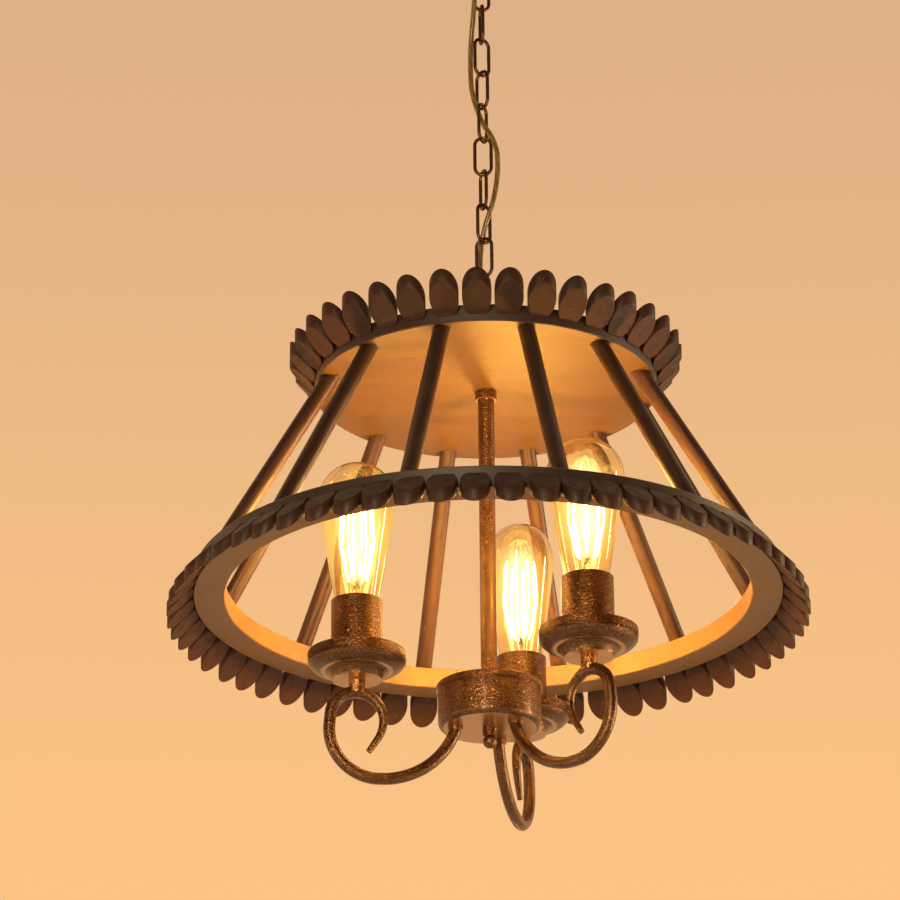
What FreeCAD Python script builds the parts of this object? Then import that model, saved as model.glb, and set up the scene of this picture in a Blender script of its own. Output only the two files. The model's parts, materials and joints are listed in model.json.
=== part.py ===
import FreeCAD, Part
import math
import os

# A wagon wheel chandelier that hangs by a chain from a ceiling canopy.
# Millimetres. +Z is up, and the origin is the centre of the ceiling plane that the canopy
# closes against, so the whole fitting hangs below it. -Y is the side that faces the viewer.

V = FreeCAD.Vector
UP = V(0, 0, 1)

# ---- clearances ----
FIT = 0.05            # radial clearance of a threaded or glued joint
RUN = 0.3             # gap between pieces that move past each other

# ---- ceiling canopy ----
CANOPY_R = 60.0
CANOPY_H = 25.0
CANOPY_WALL = 1.2
CANOPY_SHOULDER_R = 10.0
BAR_L = 106.0         # steel crossbar inside the canopy
BAR_W = 18.0
BAR_T = 2.5
SLOT_SPACING = 89.0   # middle to middle of the two screw slots in the crossbar
SLOT_R = 2.6
SLOT_L = 9.0          # straight length of a slot, between the middles of its ends
NUT_H = 6.0
NUT_FLATS = 15.0

# ---- threaded lamp pipe, used at the canopy, through the disc and through the hub ----
PIPE_R = 5.0
PIPE_BORE_R = 3.6
PIPE_GRIP = 12.0      # thread length inside a loop or a tube
PIPE_END = 4.0        # pipe below the hub, inside the finial

# ---- hanging loops ----
LOOP_WIRE_R = 2.0
LOOP_R = 13.0         # to the middle of the loop's wire
LOOP_COLLAR_R = 8.0
CANOPY_COLLAR_H = 16.0
TOP_COLLAR_H = 30.5
CANOPY_LOOP_YAW = 90.0
TOP_LOOP_YAW = 0.0

# ---- chain: a yaw of 0 faces the viewer, and 90 is edge on ----
LINK_WIRE_R = 1.5
LINK_PITCH = 32.0
LINK_W = 17.0         # outer width
LINK_YAWS = (20.0, 100.0, 32.0, -50.0, 62.0, -3.0, -70.0, 42.0, -24.0, 66.0)

# ---- round board at the top ----
DISC_R = 143.5
DISC_T = 15.0
WASHER_R = 15.0
WASHER_T = 1.5
BOARD_CHAMFER = 0.8

# ---- lower ring ----
RING_R_OUT = 242.0
RING_W = 26.0
RING_T = 18.0
RING_TOP_DROP = 168.0  # from the disc's underside down to the ring's top

# ---- spokes ----
SPOKES = 12
SPOKE_R = 7.0
SPOKE_FIRST = 14.0     # degrees from +X
SPOKE_INSET = 10.5     # from the disc's edge to where a spoke's axis meets its underside
SPOKE_IN_DISC = 8.0
SPOKE_IN_RING = 6.0

# ---- petals: slices cut at 45 degrees from an upright dowel, planed flat at the back ----
PETAL_R = 12.0
PETAL_FLAT = 2.5       # depth planed off the back
PETAL_T = 12.0         # height of a slice, measured upright
PETAL_SLOPE = 1.0      # rise over run of the cut
UPPER_PETAL_COUNT = 36
UPPER_FIRST = -93.2
UPPER_LIFT = 5.6       # lowest inner corner above the disc's underside
LOWER_PETAL_COUNT = 61
LOWER_FIRST = -86.4
LOWER_LIFT = 0.2       # lowest inner corner above the ring's underside

# ---- stem ----
STEM_R = 6.75
STEM_L = 261.7
STEM_COLLAR_R = 9.0
STEM_COLLAR_H = 8.0

# ---- hub ----
HUB_R = 42.0
HUB_H = 36.1           # lid top to flat bottom
HUB_WALL = 1.2
HUB_EDGE_R = 5.0
LID_OVERHANG = 1.25
LID_SKIRT = 4.0
FINIAL_NECK_R = 5.9
FINIAL_NECK_H = 7.0
FINIAL_BALL_R = 5.8
FINIAL_SINK = 1.5      # of the ball into the neck

# ---- scroll arms ----
ARM_AZIMUTHS = (75.4, 195.4, 315.4)
ARM_R = 4.9
ARM_BORE_R = 3.4
ARM_EXIT_R = 29.0      # from the hub's axis to where an arm leaves it
ARM_DROP = 2.5         # straight below the hub, before the first bend
ARM_END_R = 2.5        # at the tip of the scroll
LEAVE_R = 10.0         # first, short bend
LEAVE_TURN = 21.5      # degrees turned by it from straight down
SWOOP_R = 70.0         # long bend down to the arm's lowest place
CURL_R = 22.0          # small bend under the dish
CURL_RISE = 10.8       # its middle above the middle of the rising bend
CURL_FLARE = 1.0       # how far the rising bend stands out past it
TAIL_R = 30.0          # last bend of the scroll
TAIL_TURN = 33.0       # degrees turned by it
TAIL_RUN = 13.5        # straight end of the scroll
ARM_COLLAR_R = 6.2
ARM_COLLAR_H = 4.0
ARM_NUT_FLATS = 14.0
ARM_NUT_H = 5.0
REACH = 111.0          # from the hub's axis to the middle of a dish

# ---- couplings, dishes and cups ----
COUPLING_R = 6.75
COUPLING_RISE = 10.2   # dish underside above the middle of the arm's highest point
COUPLING_SINK = 1.0    # how far the saddle reaches down past that middle
COUPLING_BORE_R = 3.8
DISH_R = 40.0
DISH_H = 23.6
DISH_FOOT_R = 20.0       # flat underside
DISH_WAIST_R = 25.5      # where the cove above the foot meets the bowl
DISH_WAIST_H = 7.5
DISH_COVE = 0.9          # how far the cove is hollowed
DISH_BULGE = 2.2         # how far the bowl swells out
DISH_BOWL_H = 14.4       # to the top of the bowl
DISH_GROOVE = 1.0        # depth of the grooves that set off the bead and the rim
DISH_GROOVE_H = 0.7
DISH_BEAD_H = 1.2
DISH_RIM_EDGE = 1.0      # rounding of the rim
DISH_RIM_T = 3.2
DISH_FLOOR_T = 6.5       # under the cup
DISH_FLOOR_R = 22.5
CUP_R = 21.2
CUP_H = 61.3
CUP_WALL = 1.0

# ---- lampholders ----
HOLDER_R = 18.5
HOLDER_NECK_R = 9.0
HOLDER_H = 44.0
SOCKET_DEPTH = 28.0

# ---- bulbs ----
BULB_RADII = (29.0, 32.0, 32.0)
BULB_H = 121.0          # glass above the cup's rim
BULB_WIDEST = 88.0      # height of the widest place above the rim
BULB_FLANK_R = 44.0     # radius of the outline through the widest place
NECK_R = 18.0           # of the glass where it leaves the cup
GLASS_SINK = 6.0        # glass below the cup's rim, down to the metal cap
GLASS_T = 0.8
CAP_R = 13.2
CAP_H = 24.0
CAP_T = 0.5
CONTACT_R = 5.0
CONTACT_H = 3.0
FILAMENTS = 8
FILAMENT_R = 0.9
FILAMENT_CIRCLES = (8.0, 14.5, 12.5)  # at the foot, the knee and the top
FILAMENT_LEVELS = (18.5, 50.5, 86.0)  # above the cup's rim
MOUNT_R = 3.5           # glass stem that carries the filaments
PLUG_H = 2.0            # insulator inside the cap's end

# ---- wiring ----
CORD_R = 2.25
LEAD_R = 1.2
CORD_BEND_SHARE = 0.45  # of the shorter run at a bend, taken up by its arc
LEAD_OFFSET = 0.5       # of a lead from the middle of its arm
LEAD_TURN_R = 2.0       # where it turns down into the arm
CONNECTOR_R = 4.0
CONNECTOR_TIP_R = 2.4
CONNECTOR_H = 14.0
CONNECTOR_MOUTH = 4.0
CONNECTOR_AT = 16.0     # from the hub's axis

# ---- places and levels worked out from the sizes above ----
ring_inner_r = RING_R_OUT - RING_W
spoke_disc_r = DISC_R - SPOKE_INSET
spoke_ring_r = RING_R_OUT - RING_W / 2                  # in the middle of the ring's top
canopy_loop_low = -CANOPY_H - CANOPY_COLLAR_H + LOOP_WIRE_R - 2 * LOOP_R
link_first_top = canopy_loop_low + LOOP_WIRE_R + LINK_WIRE_R + RUN
link_length = LINK_PITCH + 2 * LINK_WIRE_R + RUN       # between the middles of its end wires
chain_low = link_first_top - link_length - LINK_PITCH * (len(LINK_YAWS) - 1)
top_loop_high = chain_low + LINK_WIRE_R + LOOP_WIRE_R + RUN
top_loop_low = top_loop_high - 2 * LOOP_R
top_collar_low = top_loop_low - TOP_COLLAR_H
disc_top = top_collar_low - NUT_H - WASHER_T
disc_low = disc_top - DISC_T
ring_top = disc_low - RING_TOP_DROP
ring_low = ring_top - RING_T
hub_top = disc_low - STEM_L
hub_low = hub_top - HUB_H
hub_floor = hub_low + HUB_WALL
# the arm's bends one after the other: leave, swoop, rise, curl and tail
leave_x = ARM_EXIT_R + LEAVE_R
leave_z = hub_low - ARM_DROP
leave_angle = 180.0 + LEAVE_TURN
swoop_x = leave_x + (SWOOP_R - LEAVE_R) * math.cos(math.radians(LEAVE_TURN))
swoop_z = leave_z + (SWOOP_R - LEAVE_R) * math.sin(math.radians(LEAVE_TURN))
rise_r = REACH + CURL_R + CURL_FLARE - swoop_x
rise_z = swoop_z - SWOOP_R + rise_r
curl_z = rise_z + CURL_RISE
curl_top = curl_z + CURL_R
# a straight run joins the rising bend to the curl, and meets both at this angle
join_angle = math.degrees(math.atan2(CURL_RISE, REACH - swoop_x)
                          - math.acos((rise_r - CURL_R) / math.hypot(REACH - swoop_x, CURL_RISE)))
tail_x = REACH - CURL_R + TAIL_R
tail_angle = 180.0 + TAIL_TURN
dish_low = curl_top + COUPLING_RISE
cup_low = dish_low + DISH_FLOOR_T
cup_top = cup_low + CUP_H
cap_top = cup_top - GLASS_SINK
holder_top = cap_top - RUN
socket_floor = holder_top - SOCKET_DEPTH
cap_low = cap_top - CAP_H
contact_low = cap_low - CONTACT_H

# The cord leaves the canopy's pipe, passes in front of the first link, hangs to the left of the
# next three, goes through the fifth to the right, comes back through the eighth and drops behind
# the ninth into the lower loop and the stem. Heights are below the ceiling.
CORD_ROUTE = (
    (0.0, 0.0, 0.0), (0.0, 0.0, -45.0), (-5.0, -4.6, -58.0), (-6.2, -8.8, -71.0),
    (-5.6, -8.6, -88.0), (-7.4, -5.4, -109.0), (-9.5, 0.0, -130.0), (-10.0, 1.4, -151.0),
    (-9.6, 0.2, -172.0), (-6.2, -1.0, -190.0), (0.2, -0.4, -208.0), (7.4, -3.8, -221.0),
    (12.2, -5.6, -236.0), (12.6, -3.8, -254.0), (10.6, -2.2, -271.0), (7.2, -2.0, -287.0),
    (1.4, 1.0, -303.0), (-2.4, 7.4, -319.0), (-3.6, 7.8, -338.0), (-3.6, 7.4, -357.0),
    (-3.6, 6.0, -374.0), (-3.2, 3.2, -388.0), (-0.8, 0.8, -399.0), (0.0, 0.0, -412.0),
    (0.0, 0.0, -712.0))


def at_angle(shape, degrees):
    """A copy turned about the fitting's axis."""
    copy = shape.copy()
    copy.rotate(V(0, 0, 0), UP, degrees)
    return copy


def cylinder(radius, low, high, x=0.0, y=0.0):
    return Part.makeCylinder(radius, high - low, V(x, y, low), UP)


def tube(outer, inner, low, high, x=0.0, y=0.0):
    margin = 1.0
    return cylinder(outer, low, high, x, y).cut(cylinder(inner, low - margin, high + margin, x, y))


def hex_nut(flats, bore, low, high, x=0.0, y=0.0):
    corner = flats / math.sqrt(3.0)
    points = []
    for k in range(7):
        angle = math.radians(30 + 60 * k)
        points.append(V(x + corner * math.cos(angle), y + corner * math.sin(angle), low))
    block = Part.Face(Part.makePolygon(points)).extrude(V(0, 0, high - low))
    return block.cut(cylinder(bore, low - 1.0, high + 1.0, x, y))


def line(a, b):
    return Part.LineSegment(a, b).toShape()


def arc(a, middle, b):
    return Part.Arc(a, middle, b).toShape()


def upright(radius, height):
    """A point of an outline that is turned about the upright axis."""
    return V(radius, 0, height)


def turned(edges):
    """The solid that a closed outline of edges sweeps about the upright axis."""
    return Part.Face(Part.Wire(edges)).revolve(V(0, 0, 0), UP, 360)


def on_circle(centre_x, centre_z, radius, degrees):
    angle = math.radians(degrees)
    return V(centre_x + radius * math.cos(angle), 0, centre_z + radius * math.sin(angle))


def bend(centre_x, centre_z, radius, start, end):
    """An arc in the XZ plane, from one angle to another in degrees."""
    middle = (start + end) / 2.0
    return arc(on_circle(centre_x, centre_z, radius, start),
               on_circle(centre_x, centre_z, radius, middle),
               on_circle(centre_x, centre_z, radius, end))


def swept(edges, radius, start, direction, end_radius=None, end=None, end_direction=None):
    """A round bar along joined edges, tapering to end_radius when one is given."""
    shell = Part.BRepOffsetAPI.MakePipeShell(Part.Wire(edges))
    shell.add(Part.Wire(Part.makeCircle(radius, start, direction)))
    if end_radius:
        shell.add(Part.Wire(Part.makeCircle(end_radius, end, end_direction)))
    shell.build()
    shell.makeSolid()
    return shell.shape()


def save(name, shape):
    solids = shape if isinstance(shape, list) else [shape]
    shape = Part.makeCompound(solids) if len(solids) > 1 else solids[0]
    if len(shape.Solids) != len(solids) or not shape.isValid():
        raise ValueError(name + " isn't made of whole solids")
    shape.exportStep("parts/" + name + ".step")


# ---- ceiling ----

def canopy():
    """A spun steel cover with a rounded shoulder, open towards the ceiling."""
    def bowl(radius, height, shoulder):
        low = -height
        corner = upright(radius - shoulder * (1 - math.sqrt(0.5)),
                         low + shoulder * (1 - math.sqrt(0.5)))
        return turned([
            line(upright(0, 0), upright(0, low)),
            line(upright(0, low), upright(radius - shoulder, low)),
            arc(upright(radius - shoulder, low), corner, upright(radius, low + shoulder)),
            line(upright(radius, low + shoulder), upright(radius, 0)),
            line(upright(radius, 0), upright(0, 0))])
    inside = bowl(CANOPY_R - CANOPY_WALL, CANOPY_H - CANOPY_WALL, CANOPY_SHOULDER_R - CANOPY_WALL)
    shell = bowl(CANOPY_R, CANOPY_H, CANOPY_SHOULDER_R).cut(inside)
    return shell.cut(cylinder(PIPE_R + FIT, -CANOPY_H - 1, 0))


def crossbar():
    bar = Part.makeBox(BAR_L, BAR_W, BAR_T, V(-BAR_L / 2, -BAR_W / 2, -BAR_T))
    bar = bar.cut(cylinder(PIPE_R + FIT, -BAR_T - 1, 1))
    for side in (-1, 1):
        middle = side * SLOT_SPACING / 2
        slot = Part.makeBox(SLOT_L, 2 * SLOT_R, BAR_T + 2,
                            V(middle - SLOT_L / 2, -SLOT_R, -BAR_T - 1))
        for end in (-1, 1):
            slot = slot.fuse(cylinder(SLOT_R, -BAR_T - 1, 1, middle + end * SLOT_L / 2))
        bar = bar.cut(slot)
    return bar


def hanging_loop(ring_middle, collar_low, collar_high, yaw):
    """A wire ring on a round collar that is bored for the pipe and the cord."""
    ring = Part.makeTorus(LOOP_R, LOOP_WIRE_R, V(0, 0, ring_middle), V(0, 1, 0))
    shape = ring.fuse(cylinder(LOOP_COLLAR_R, collar_low, collar_high))
    shape.rotate(V(0, 0, 0), UP, yaw)
    return shape


def canopy_loop():
    middle = canopy_loop_low + LOOP_R
    low = -CANOPY_H - CANOPY_COLLAR_H
    shape = hanging_loop(middle, low, -CANOPY_H, CANOPY_LOOP_YAW)
    shape = shape.cut(cylinder(PIPE_BORE_R, low - 2 * LOOP_WIRE_R, low + PIPE_GRIP))
    return shape.cut(cylinder(PIPE_R + FIT, -CANOPY_H - PIPE_GRIP, -CANOPY_H + 1))


def top_loop():
    middle = top_loop_low + LOOP_R
    high = top_loop_low + LOOP_WIRE_R / 2
    shape = hanging_loop(middle, top_collar_low, high, TOP_LOOP_YAW)
    shape = shape.cut(cylinder(PIPE_BORE_R, top_collar_low, high + 2 * LOOP_WIRE_R))
    return shape.cut(cylinder(PIPE_R + FIT, top_collar_low - 1, top_collar_low + PIPE_GRIP))


def pipe(low, high):
    return tube(PIPE_R, PIPE_BORE_R, low, high)


# ---- chain ----

def chain_link(top, yaw):
    """An oval link: two half rings of wire joined by two straight legs."""
    radius = LINK_W / 2 - LINK_WIRE_R
    high = top - radius
    low = top - link_length + radius
    shape = None
    for middle, start in ((high, 0), (low, 180)):
        section = Part.Wire(Part.makeCircle(LINK_WIRE_R, V(radius, 0, middle), UP))
        half = Part.Face(section).revolve(V(0, 0, middle), V(0, -1, 0), 180)
        half.rotate(V(0, 0, middle), V(0, -1, 0), start)
        shape = half if shape is None else shape.fuse(half)
    for side in (-radius, radius):
        shape = shape.fuse(cylinder(LINK_WIRE_R, low, high, side))
    shape = shape.removeSplitter()
    return at_angle(shape, yaw)


# ---- power cord ----

def cord_solid(points, radius):
    """A tube of straight runs joined by tangent arcs, as wide as the runs allow."""
    corners = [V(*p) for p in points]
    edges = []
    start = corners[0]
    for k in range(1, len(corners) - 1):
        before = corners[k] - corners[k - 1]
        after = corners[k + 1] - corners[k]
        turn = before.getAngle(after)
        reach = CORD_BEND_SHARE * min(before.Length, after.Length)
        bend_radius = reach / math.tan(turn / 2)
        before.normalize()
        after.normalize()
        entry = corners[k] - before * reach
        leave = corners[k] + after * reach
        inward = after - before
        inward.normalize()
        centre_far = bend_radius / math.cos(turn / 2)
        middle = corners[k] + inward * (centre_far - bend_radius)
        edges.append(line(start, entry))
        edges.append(arc(entry, middle, leave))
        start = leave
        print("cord bend %d radius %.0f mm" % (k, bend_radius))
    edges.append(line(start, corners[-1]))
    length = sum(edge.Length for edge in edges)
    solid = swept(edges, radius, corners[0], corners[1] - corners[0])
    ideal = math.pi * radius ** 2 * length
    print("cord length %.0f mm, volume over ideal %.4f" % (length, solid.Volume / ideal))
    return solid


# ---- wooden wheel ----

def spoke_line():
    """The top and bottom middles of a spoke in the XZ plane."""
    tilt = (spoke_ring_r - spoke_disc_r) / RING_TOP_DROP
    top = V(spoke_disc_r - tilt * SPOKE_IN_DISC, 0, disc_low + SPOKE_IN_DISC)
    low = V(spoke_ring_r + tilt * SPOKE_IN_RING, 0, ring_top - SPOKE_IN_RING)
    return top, low


def spokes(radius, extra):
    """Every spoke, with its radius and its ends lengthened by extra for the blind holes."""
    top, low = spoke_line()
    along = low - top
    length = along.Length
    along.normalize()
    one = Part.makeCylinder(radius, length + 2 * extra, top - along * extra, along)
    return [at_angle(one, SPOKE_FIRST + k * 360.0 / SPOKES) for k in range(SPOKES)]


def chamfered(shape, size):
    rims = [edge for edge in shape.Edges if edge.Closed and len(edge.Vertexes) == 1]
    return shape.makeChamfer(size, rims)


def top_disc():
    board = chamfered(cylinder(DISC_R, disc_low, disc_top), BOARD_CHAMFER)
    board = board.cut(cylinder(PIPE_R + FIT, disc_low - 1, disc_top + 1))
    return board.cut(Part.makeCompound(spokes(SPOKE_R + FIT, FIT)))


def lower_ring():
    ring = chamfered(tube(RING_R_OUT, ring_inner_r, ring_low, ring_top), BOARD_CHAMFER)
    return ring.cut(Part.makeCompound(spokes(SPOKE_R + FIT, FIT)))


def petals(count, first, seat_r, level, slope):
    """Dowel slices round an edge of radius seat_r, each glued on by its planed back."""
    back = seat_r
    front = seat_r + 2 * PETAL_R - PETAL_FLAT
    axis_r = seat_r + PETAL_R - PETAL_FLAT
    rise = slope * (front - back)
    section = Part.makePolygon([
        V(back, -PETAL_R, level), V(front, -PETAL_R, level + rise),
        V(front, -PETAL_R, level + rise + PETAL_T), V(back, -PETAL_R, level + PETAL_T),
        V(back, -PETAL_R, level)])
    slab = Part.Face(section).extrude(V(0, 2 * PETAL_R, 0))
    bottom = min(level, level + rise) - 1
    top = max(level, level + rise) + PETAL_T + 1
    slice_ = slab.common(cylinder(PETAL_R, bottom, top, axis_r))
    return [at_angle(slice_, first + k * 360.0 / count) for k in range(count)]


# ---- stem and hub ----

def hub_body():
    def can(radius, low, edge):
        corner = upright(radius - edge * (1 - math.sqrt(0.5)), low + edge * (1 - math.sqrt(0.5)))
        high = hub_top - HUB_WALL
        return turned([
            line(upright(0, high), upright(0, low)),
            line(upright(0, low), upright(radius - edge, low)),
            arc(upright(radius - edge, low), corner, upright(radius, low + edge)),
            line(upright(radius, low + edge), upright(radius, high)),
            line(upright(radius, high), upright(0, high))])
    shell = can(HUB_R, hub_low, HUB_EDGE_R)
    shell = shell.cut(can(HUB_R - HUB_WALL, hub_floor, HUB_EDGE_R - HUB_WALL))
    shell = shell.cut(cylinder(PIPE_R + FIT, hub_low - 1, hub_floor + 1))
    for azimuth in ARM_AZIMUTHS:
        hole = cylinder(ARM_R + FIT, hub_low - 1, hub_floor + 1, ARM_EXIT_R)
        shell = shell.cut(at_angle(hole, azimuth))
    return shell


def hub_lid():
    outer = HUB_R + LID_OVERHANG
    lid = cylinder(outer, hub_top - LID_SKIRT, hub_top)
    lid = lid.cut(cylinder(HUB_R + FIT, hub_top - LID_SKIRT - 1, hub_top - HUB_WALL))
    top_rim = [edge for edge in lid.Edges if edge.Closed and edge.BoundBox.ZMin > hub_top - 0.1]
    lid = lid.makeFillet(LID_OVERHANG / 2, top_rim)
    return lid.cut(cylinder(PIPE_R + FIT, hub_top - 2 * HUB_WALL, hub_top + 1))


def hub_nuts():
    under_lid = hub_top - HUB_WALL
    return [hex_nut(NUT_FLATS, PIPE_R + FIT, under_lid - NUT_H, under_lid),
            hex_nut(NUT_FLATS, PIPE_R + FIT, hub_floor, hub_floor + NUT_H)]


def finial():
    """A turned button: a short neck and a ball, screwed on the pipe's end under the hub."""
    ball_middle = hub_low - FINIAL_NECK_H - FINIAL_BALL_R + FINIAL_SINK
    neck = cylinder(FINIAL_NECK_R, hub_low - FINIAL_NECK_H, hub_low)
    shape = neck.fuse(Part.makeSphere(FINIAL_BALL_R, V(0, 0, ball_middle)))
    return shape.cut(cylinder(PIPE_R + FIT, hub_low - PIPE_END - RUN, hub_low + 1))


# ---- scroll arms ----

def arm_bends(inset):
    """The bends from the hub to the top of the curl: a centre, a radius and two angles each."""
    return [(leave_x, leave_z, LEAVE_R - inset, 180, leave_angle),
            (swoop_x, swoop_z, SWOOP_R - inset, leave_angle, 270),
            (swoop_x, rise_z, rise_r - inset, 270, 360 + join_angle),
            (REACH, curl_z, CURL_R - inset, join_angle, 90)]


def arm_start():
    return V(ARM_EXIT_R, 0, hub_floor + ARM_NUT_H + 1)


def arm_main_edges():
    """From inside the hub down, through the bends and up to the top of the curl."""
    leave, swoop, rise, curl = arm_bends(0)
    return [line(arm_start(), V(ARM_EXIT_R, 0, leave_z)),
            bend(*leave),
            bend(*swoop),
            bend(*rise),
            line(on_circle(swoop_x, rise_z, rise_r, join_angle),
                 on_circle(REACH, curl_z, CURL_R, join_angle)),
            bend(*curl)]


def solid_arm():
    """A bent bar that leaves the hub downwards, with its scroll drawn out to a thin tip."""
    outer = swept(arm_main_edges(), ARM_R, arm_start(), V(0, 0, -1))
    heading = math.radians(tail_angle + 90)
    tip_direction = V(math.cos(heading), 0, math.sin(heading))
    bend_end = on_circle(tail_x, curl_z, TAIL_R, tail_angle)
    tip = bend_end + tip_direction * TAIL_RUN
    tail_edges = [bend(REACH, curl_z, CURL_R, 90, 180),
                  bend(tail_x, curl_z, TAIL_R, 180, tail_angle),
                  line(bend_end, tip)]
    tail = swept(tail_edges, ARM_R, V(REACH, 0, curl_top), V(-1, 0, 0),
                 ARM_END_R, tip, tip_direction)
    collar = cylinder(ARM_COLLAR_R, hub_low - ARM_COLLAR_H, hub_low, ARM_EXIT_R)
    return outer.fuse(tail).fuse(collar)


def arm():
    """The bar bored for its lead, from the hub to a hole under the dish."""
    bore = swept(arm_main_edges(), ARM_BORE_R, arm_start(), V(0, 0, -1))
    lead_hole = cylinder(ARM_BORE_R, curl_top - ARM_BORE_R, curl_top + 2 * ARM_R, REACH)
    return solid_arm().cut(bore).cut(lead_hole)


def coupling():
    """A turned ferrule, saddled over the top of the curl, under the dish."""
    shape = tube(COUPLING_R, COUPLING_BORE_R, curl_top - COUPLING_SINK, dish_low, REACH)
    return shape.cut(solid_arm())


# ---- dish, cup and lampholder, each on the lamp's own axis ----

def swollen(a, b, swell):
    """An arc from a to b whose middle lies off the chord by swell, to the right of the way."""
    chord = b - a
    aside = V(chord.z, 0, -chord.x)
    aside.normalize()
    return arc(a, (a + b) * 0.5 + aside * swell, b)


def dish():
    """A drip pan: flat foot, cove, swelling bowl, and a bead and a rim set off by grooves."""
    def at(radius, height):
        return upright(radius, dish_low + height)
    neck_r = DISH_R - DISH_RIM_EDGE - DISH_GROOVE
    bead_r = DISH_R - DISH_RIM_EDGE / 2
    bead_low = DISH_BOWL_H + DISH_GROOVE_H
    bead_high = bead_low + DISH_BEAD_H
    rim_low = bead_high + DISH_GROOVE_H
    inner_r = DISH_R - DISH_RIM_T
    corner = DISH_RIM_EDGE * (1 - math.sqrt(0.5))
    outside = [
        line(at(0, 0), at(DISH_FOOT_R, 0)),
        swollen(at(DISH_FOOT_R, 0), at(DISH_WAIST_R, DISH_WAIST_H), -DISH_COVE),
        swollen(at(DISH_WAIST_R, DISH_WAIST_H), at(bead_r, DISH_BOWL_H), DISH_BULGE),
        line(at(bead_r, DISH_BOWL_H), at(neck_r, DISH_BOWL_H)),
        line(at(neck_r, DISH_BOWL_H), at(neck_r, bead_low)),
        line(at(neck_r, bead_low), at(bead_r, bead_low)),
        line(at(bead_r, bead_low), at(bead_r, bead_high)),
        line(at(bead_r, bead_high), at(neck_r, bead_high)),
        line(at(neck_r, bead_high), at(neck_r, rim_low)),
        line(at(neck_r, rim_low), at(DISH_R, rim_low)),
        line(at(DISH_R, rim_low), at(DISH_R, DISH_H - DISH_RIM_EDGE)),
        arc(at(DISH_R, DISH_H - DISH_RIM_EDGE), at(DISH_R - corner, DISH_H - corner),
            at(DISH_R - DISH_RIM_EDGE, DISH_H)),
        line(at(DISH_R - DISH_RIM_EDGE, DISH_H), at(0, DISH_H)),
        line(at(0, DISH_H), at(0, 0))]
    inside = [
        line(at(0, DISH_FLOOR_T), at(DISH_FLOOR_R, DISH_FLOOR_T)),
        swollen(at(DISH_FLOOR_R, DISH_FLOOR_T), at(inner_r, rim_low), DISH_BULGE / 2),
        line(at(inner_r, rim_low), at(inner_r, DISH_H + 1)),
        line(at(inner_r, DISH_H + 1), at(0, DISH_H + 1)),
        line(at(0, DISH_H + 1), at(0, DISH_FLOOR_T))]
    shape = turned(outside).cut(turned(inside))
    return shape.cut(cylinder(COUPLING_BORE_R, dish_low - 1, cup_low + 1))


def cup():
    shape = cylinder(CUP_R, cup_low, cup_top)
    shape = shape.cut(cylinder(CUP_R - CUP_WALL, cup_low + CUP_WALL, cup_top + 1))
    return shape.cut(cylinder(COUPLING_BORE_R, cup_low - 1, cup_low + 2 * CUP_WALL))


def lampholder():
    """A screw-in holder on a neck, with a sprung contact at the bottom of its socket."""
    foot = cup_low + CUP_WALL
    body_low = holder_top - HOLDER_H
    shape = cylinder(HOLDER_R, body_low, holder_top).fuse(cylinder(HOLDER_NECK_R, foot, body_low))
    shape = shape.cut(cylinder(CAP_R + RUN, socket_floor, holder_top + 1))
    button_top = contact_low - RUN
    shape = shape.fuse(cylinder(CONTACT_R, socket_floor - 1, button_top))
    shape = shape.cut(cylinder(COUPLING_BORE_R, foot - 1, body_low))
    return shape


# ---- bulb, on the lamp's own axis ----

def bulb_outline(widest_r, inset):
    """Half outline of the glass: base, shoulder, cone, flank and dome."""
    flank_r = BULB_FLANK_R - inset
    flank_x = widest_r - BULB_FLANK_R
    flank_z = cup_top + BULB_WIDEST
    apex = BULB_H - BULB_WIDEST
    dome_r = (BULB_FLANK_R ** 2 - flank_x ** 2 - apex ** 2) / (2 * (BULB_FLANK_R - apex))
    dome_z = cup_top + BULB_H - dome_r
    base = upright(CAP_R - inset, cap_top)
    neck = upright(NECK_R - inset, cup_top)
    shoulder = upright(CAP_R - inset + 0.75 * (NECK_R - CAP_R), cup_top - 0.55 * GLASS_SINK)
    to_centre = upright(flank_x, flank_z) - neck
    spread = math.asin(flank_r / to_centre.Length)
    tangent_length = math.sqrt(to_centre.Length ** 2 - flank_r ** 2)
    heading = math.atan2(to_centre.z, to_centre.x) - spread
    touch = neck + V(math.cos(heading), 0, math.sin(heading)) * tangent_length
    touch_angle = math.degrees(math.atan2(touch.z - flank_z, touch.x - flank_x))
    meet_angle = math.degrees(math.atan2(dome_z - flank_z, -flank_x))
    top = upright(0, dome_z + dome_r - inset)
    return [line(upright(0, cap_top), base),
            arc(base, shoulder, neck),
            line(neck, touch),
            bend(flank_x, flank_z, flank_r, touch_angle, meet_angle),
            bend(0, dome_z, dome_r - inset, meet_angle, 90),
            line(top, upright(0, cap_top))]


def bulb_glass(widest_r):
    """A blown envelope, open at its base where the metal cap grips it."""
    return turned(bulb_outline(widest_r, 0)).cut(turned(bulb_outline(widest_r, GLASS_T)))


def bulb_cap():
    return tube(CAP_R, CAP_R - CAP_T, cap_low, cap_top)


def bulb_contact():
    """The insulator that closes the cap, with the tip contact under it."""
    plug = cylinder(CAP_R - CAP_T - FIT, cap_low, cap_low + PLUG_H)
    return plug.fuse(cylinder(CONTACT_R, contact_low, cap_low))


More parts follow.
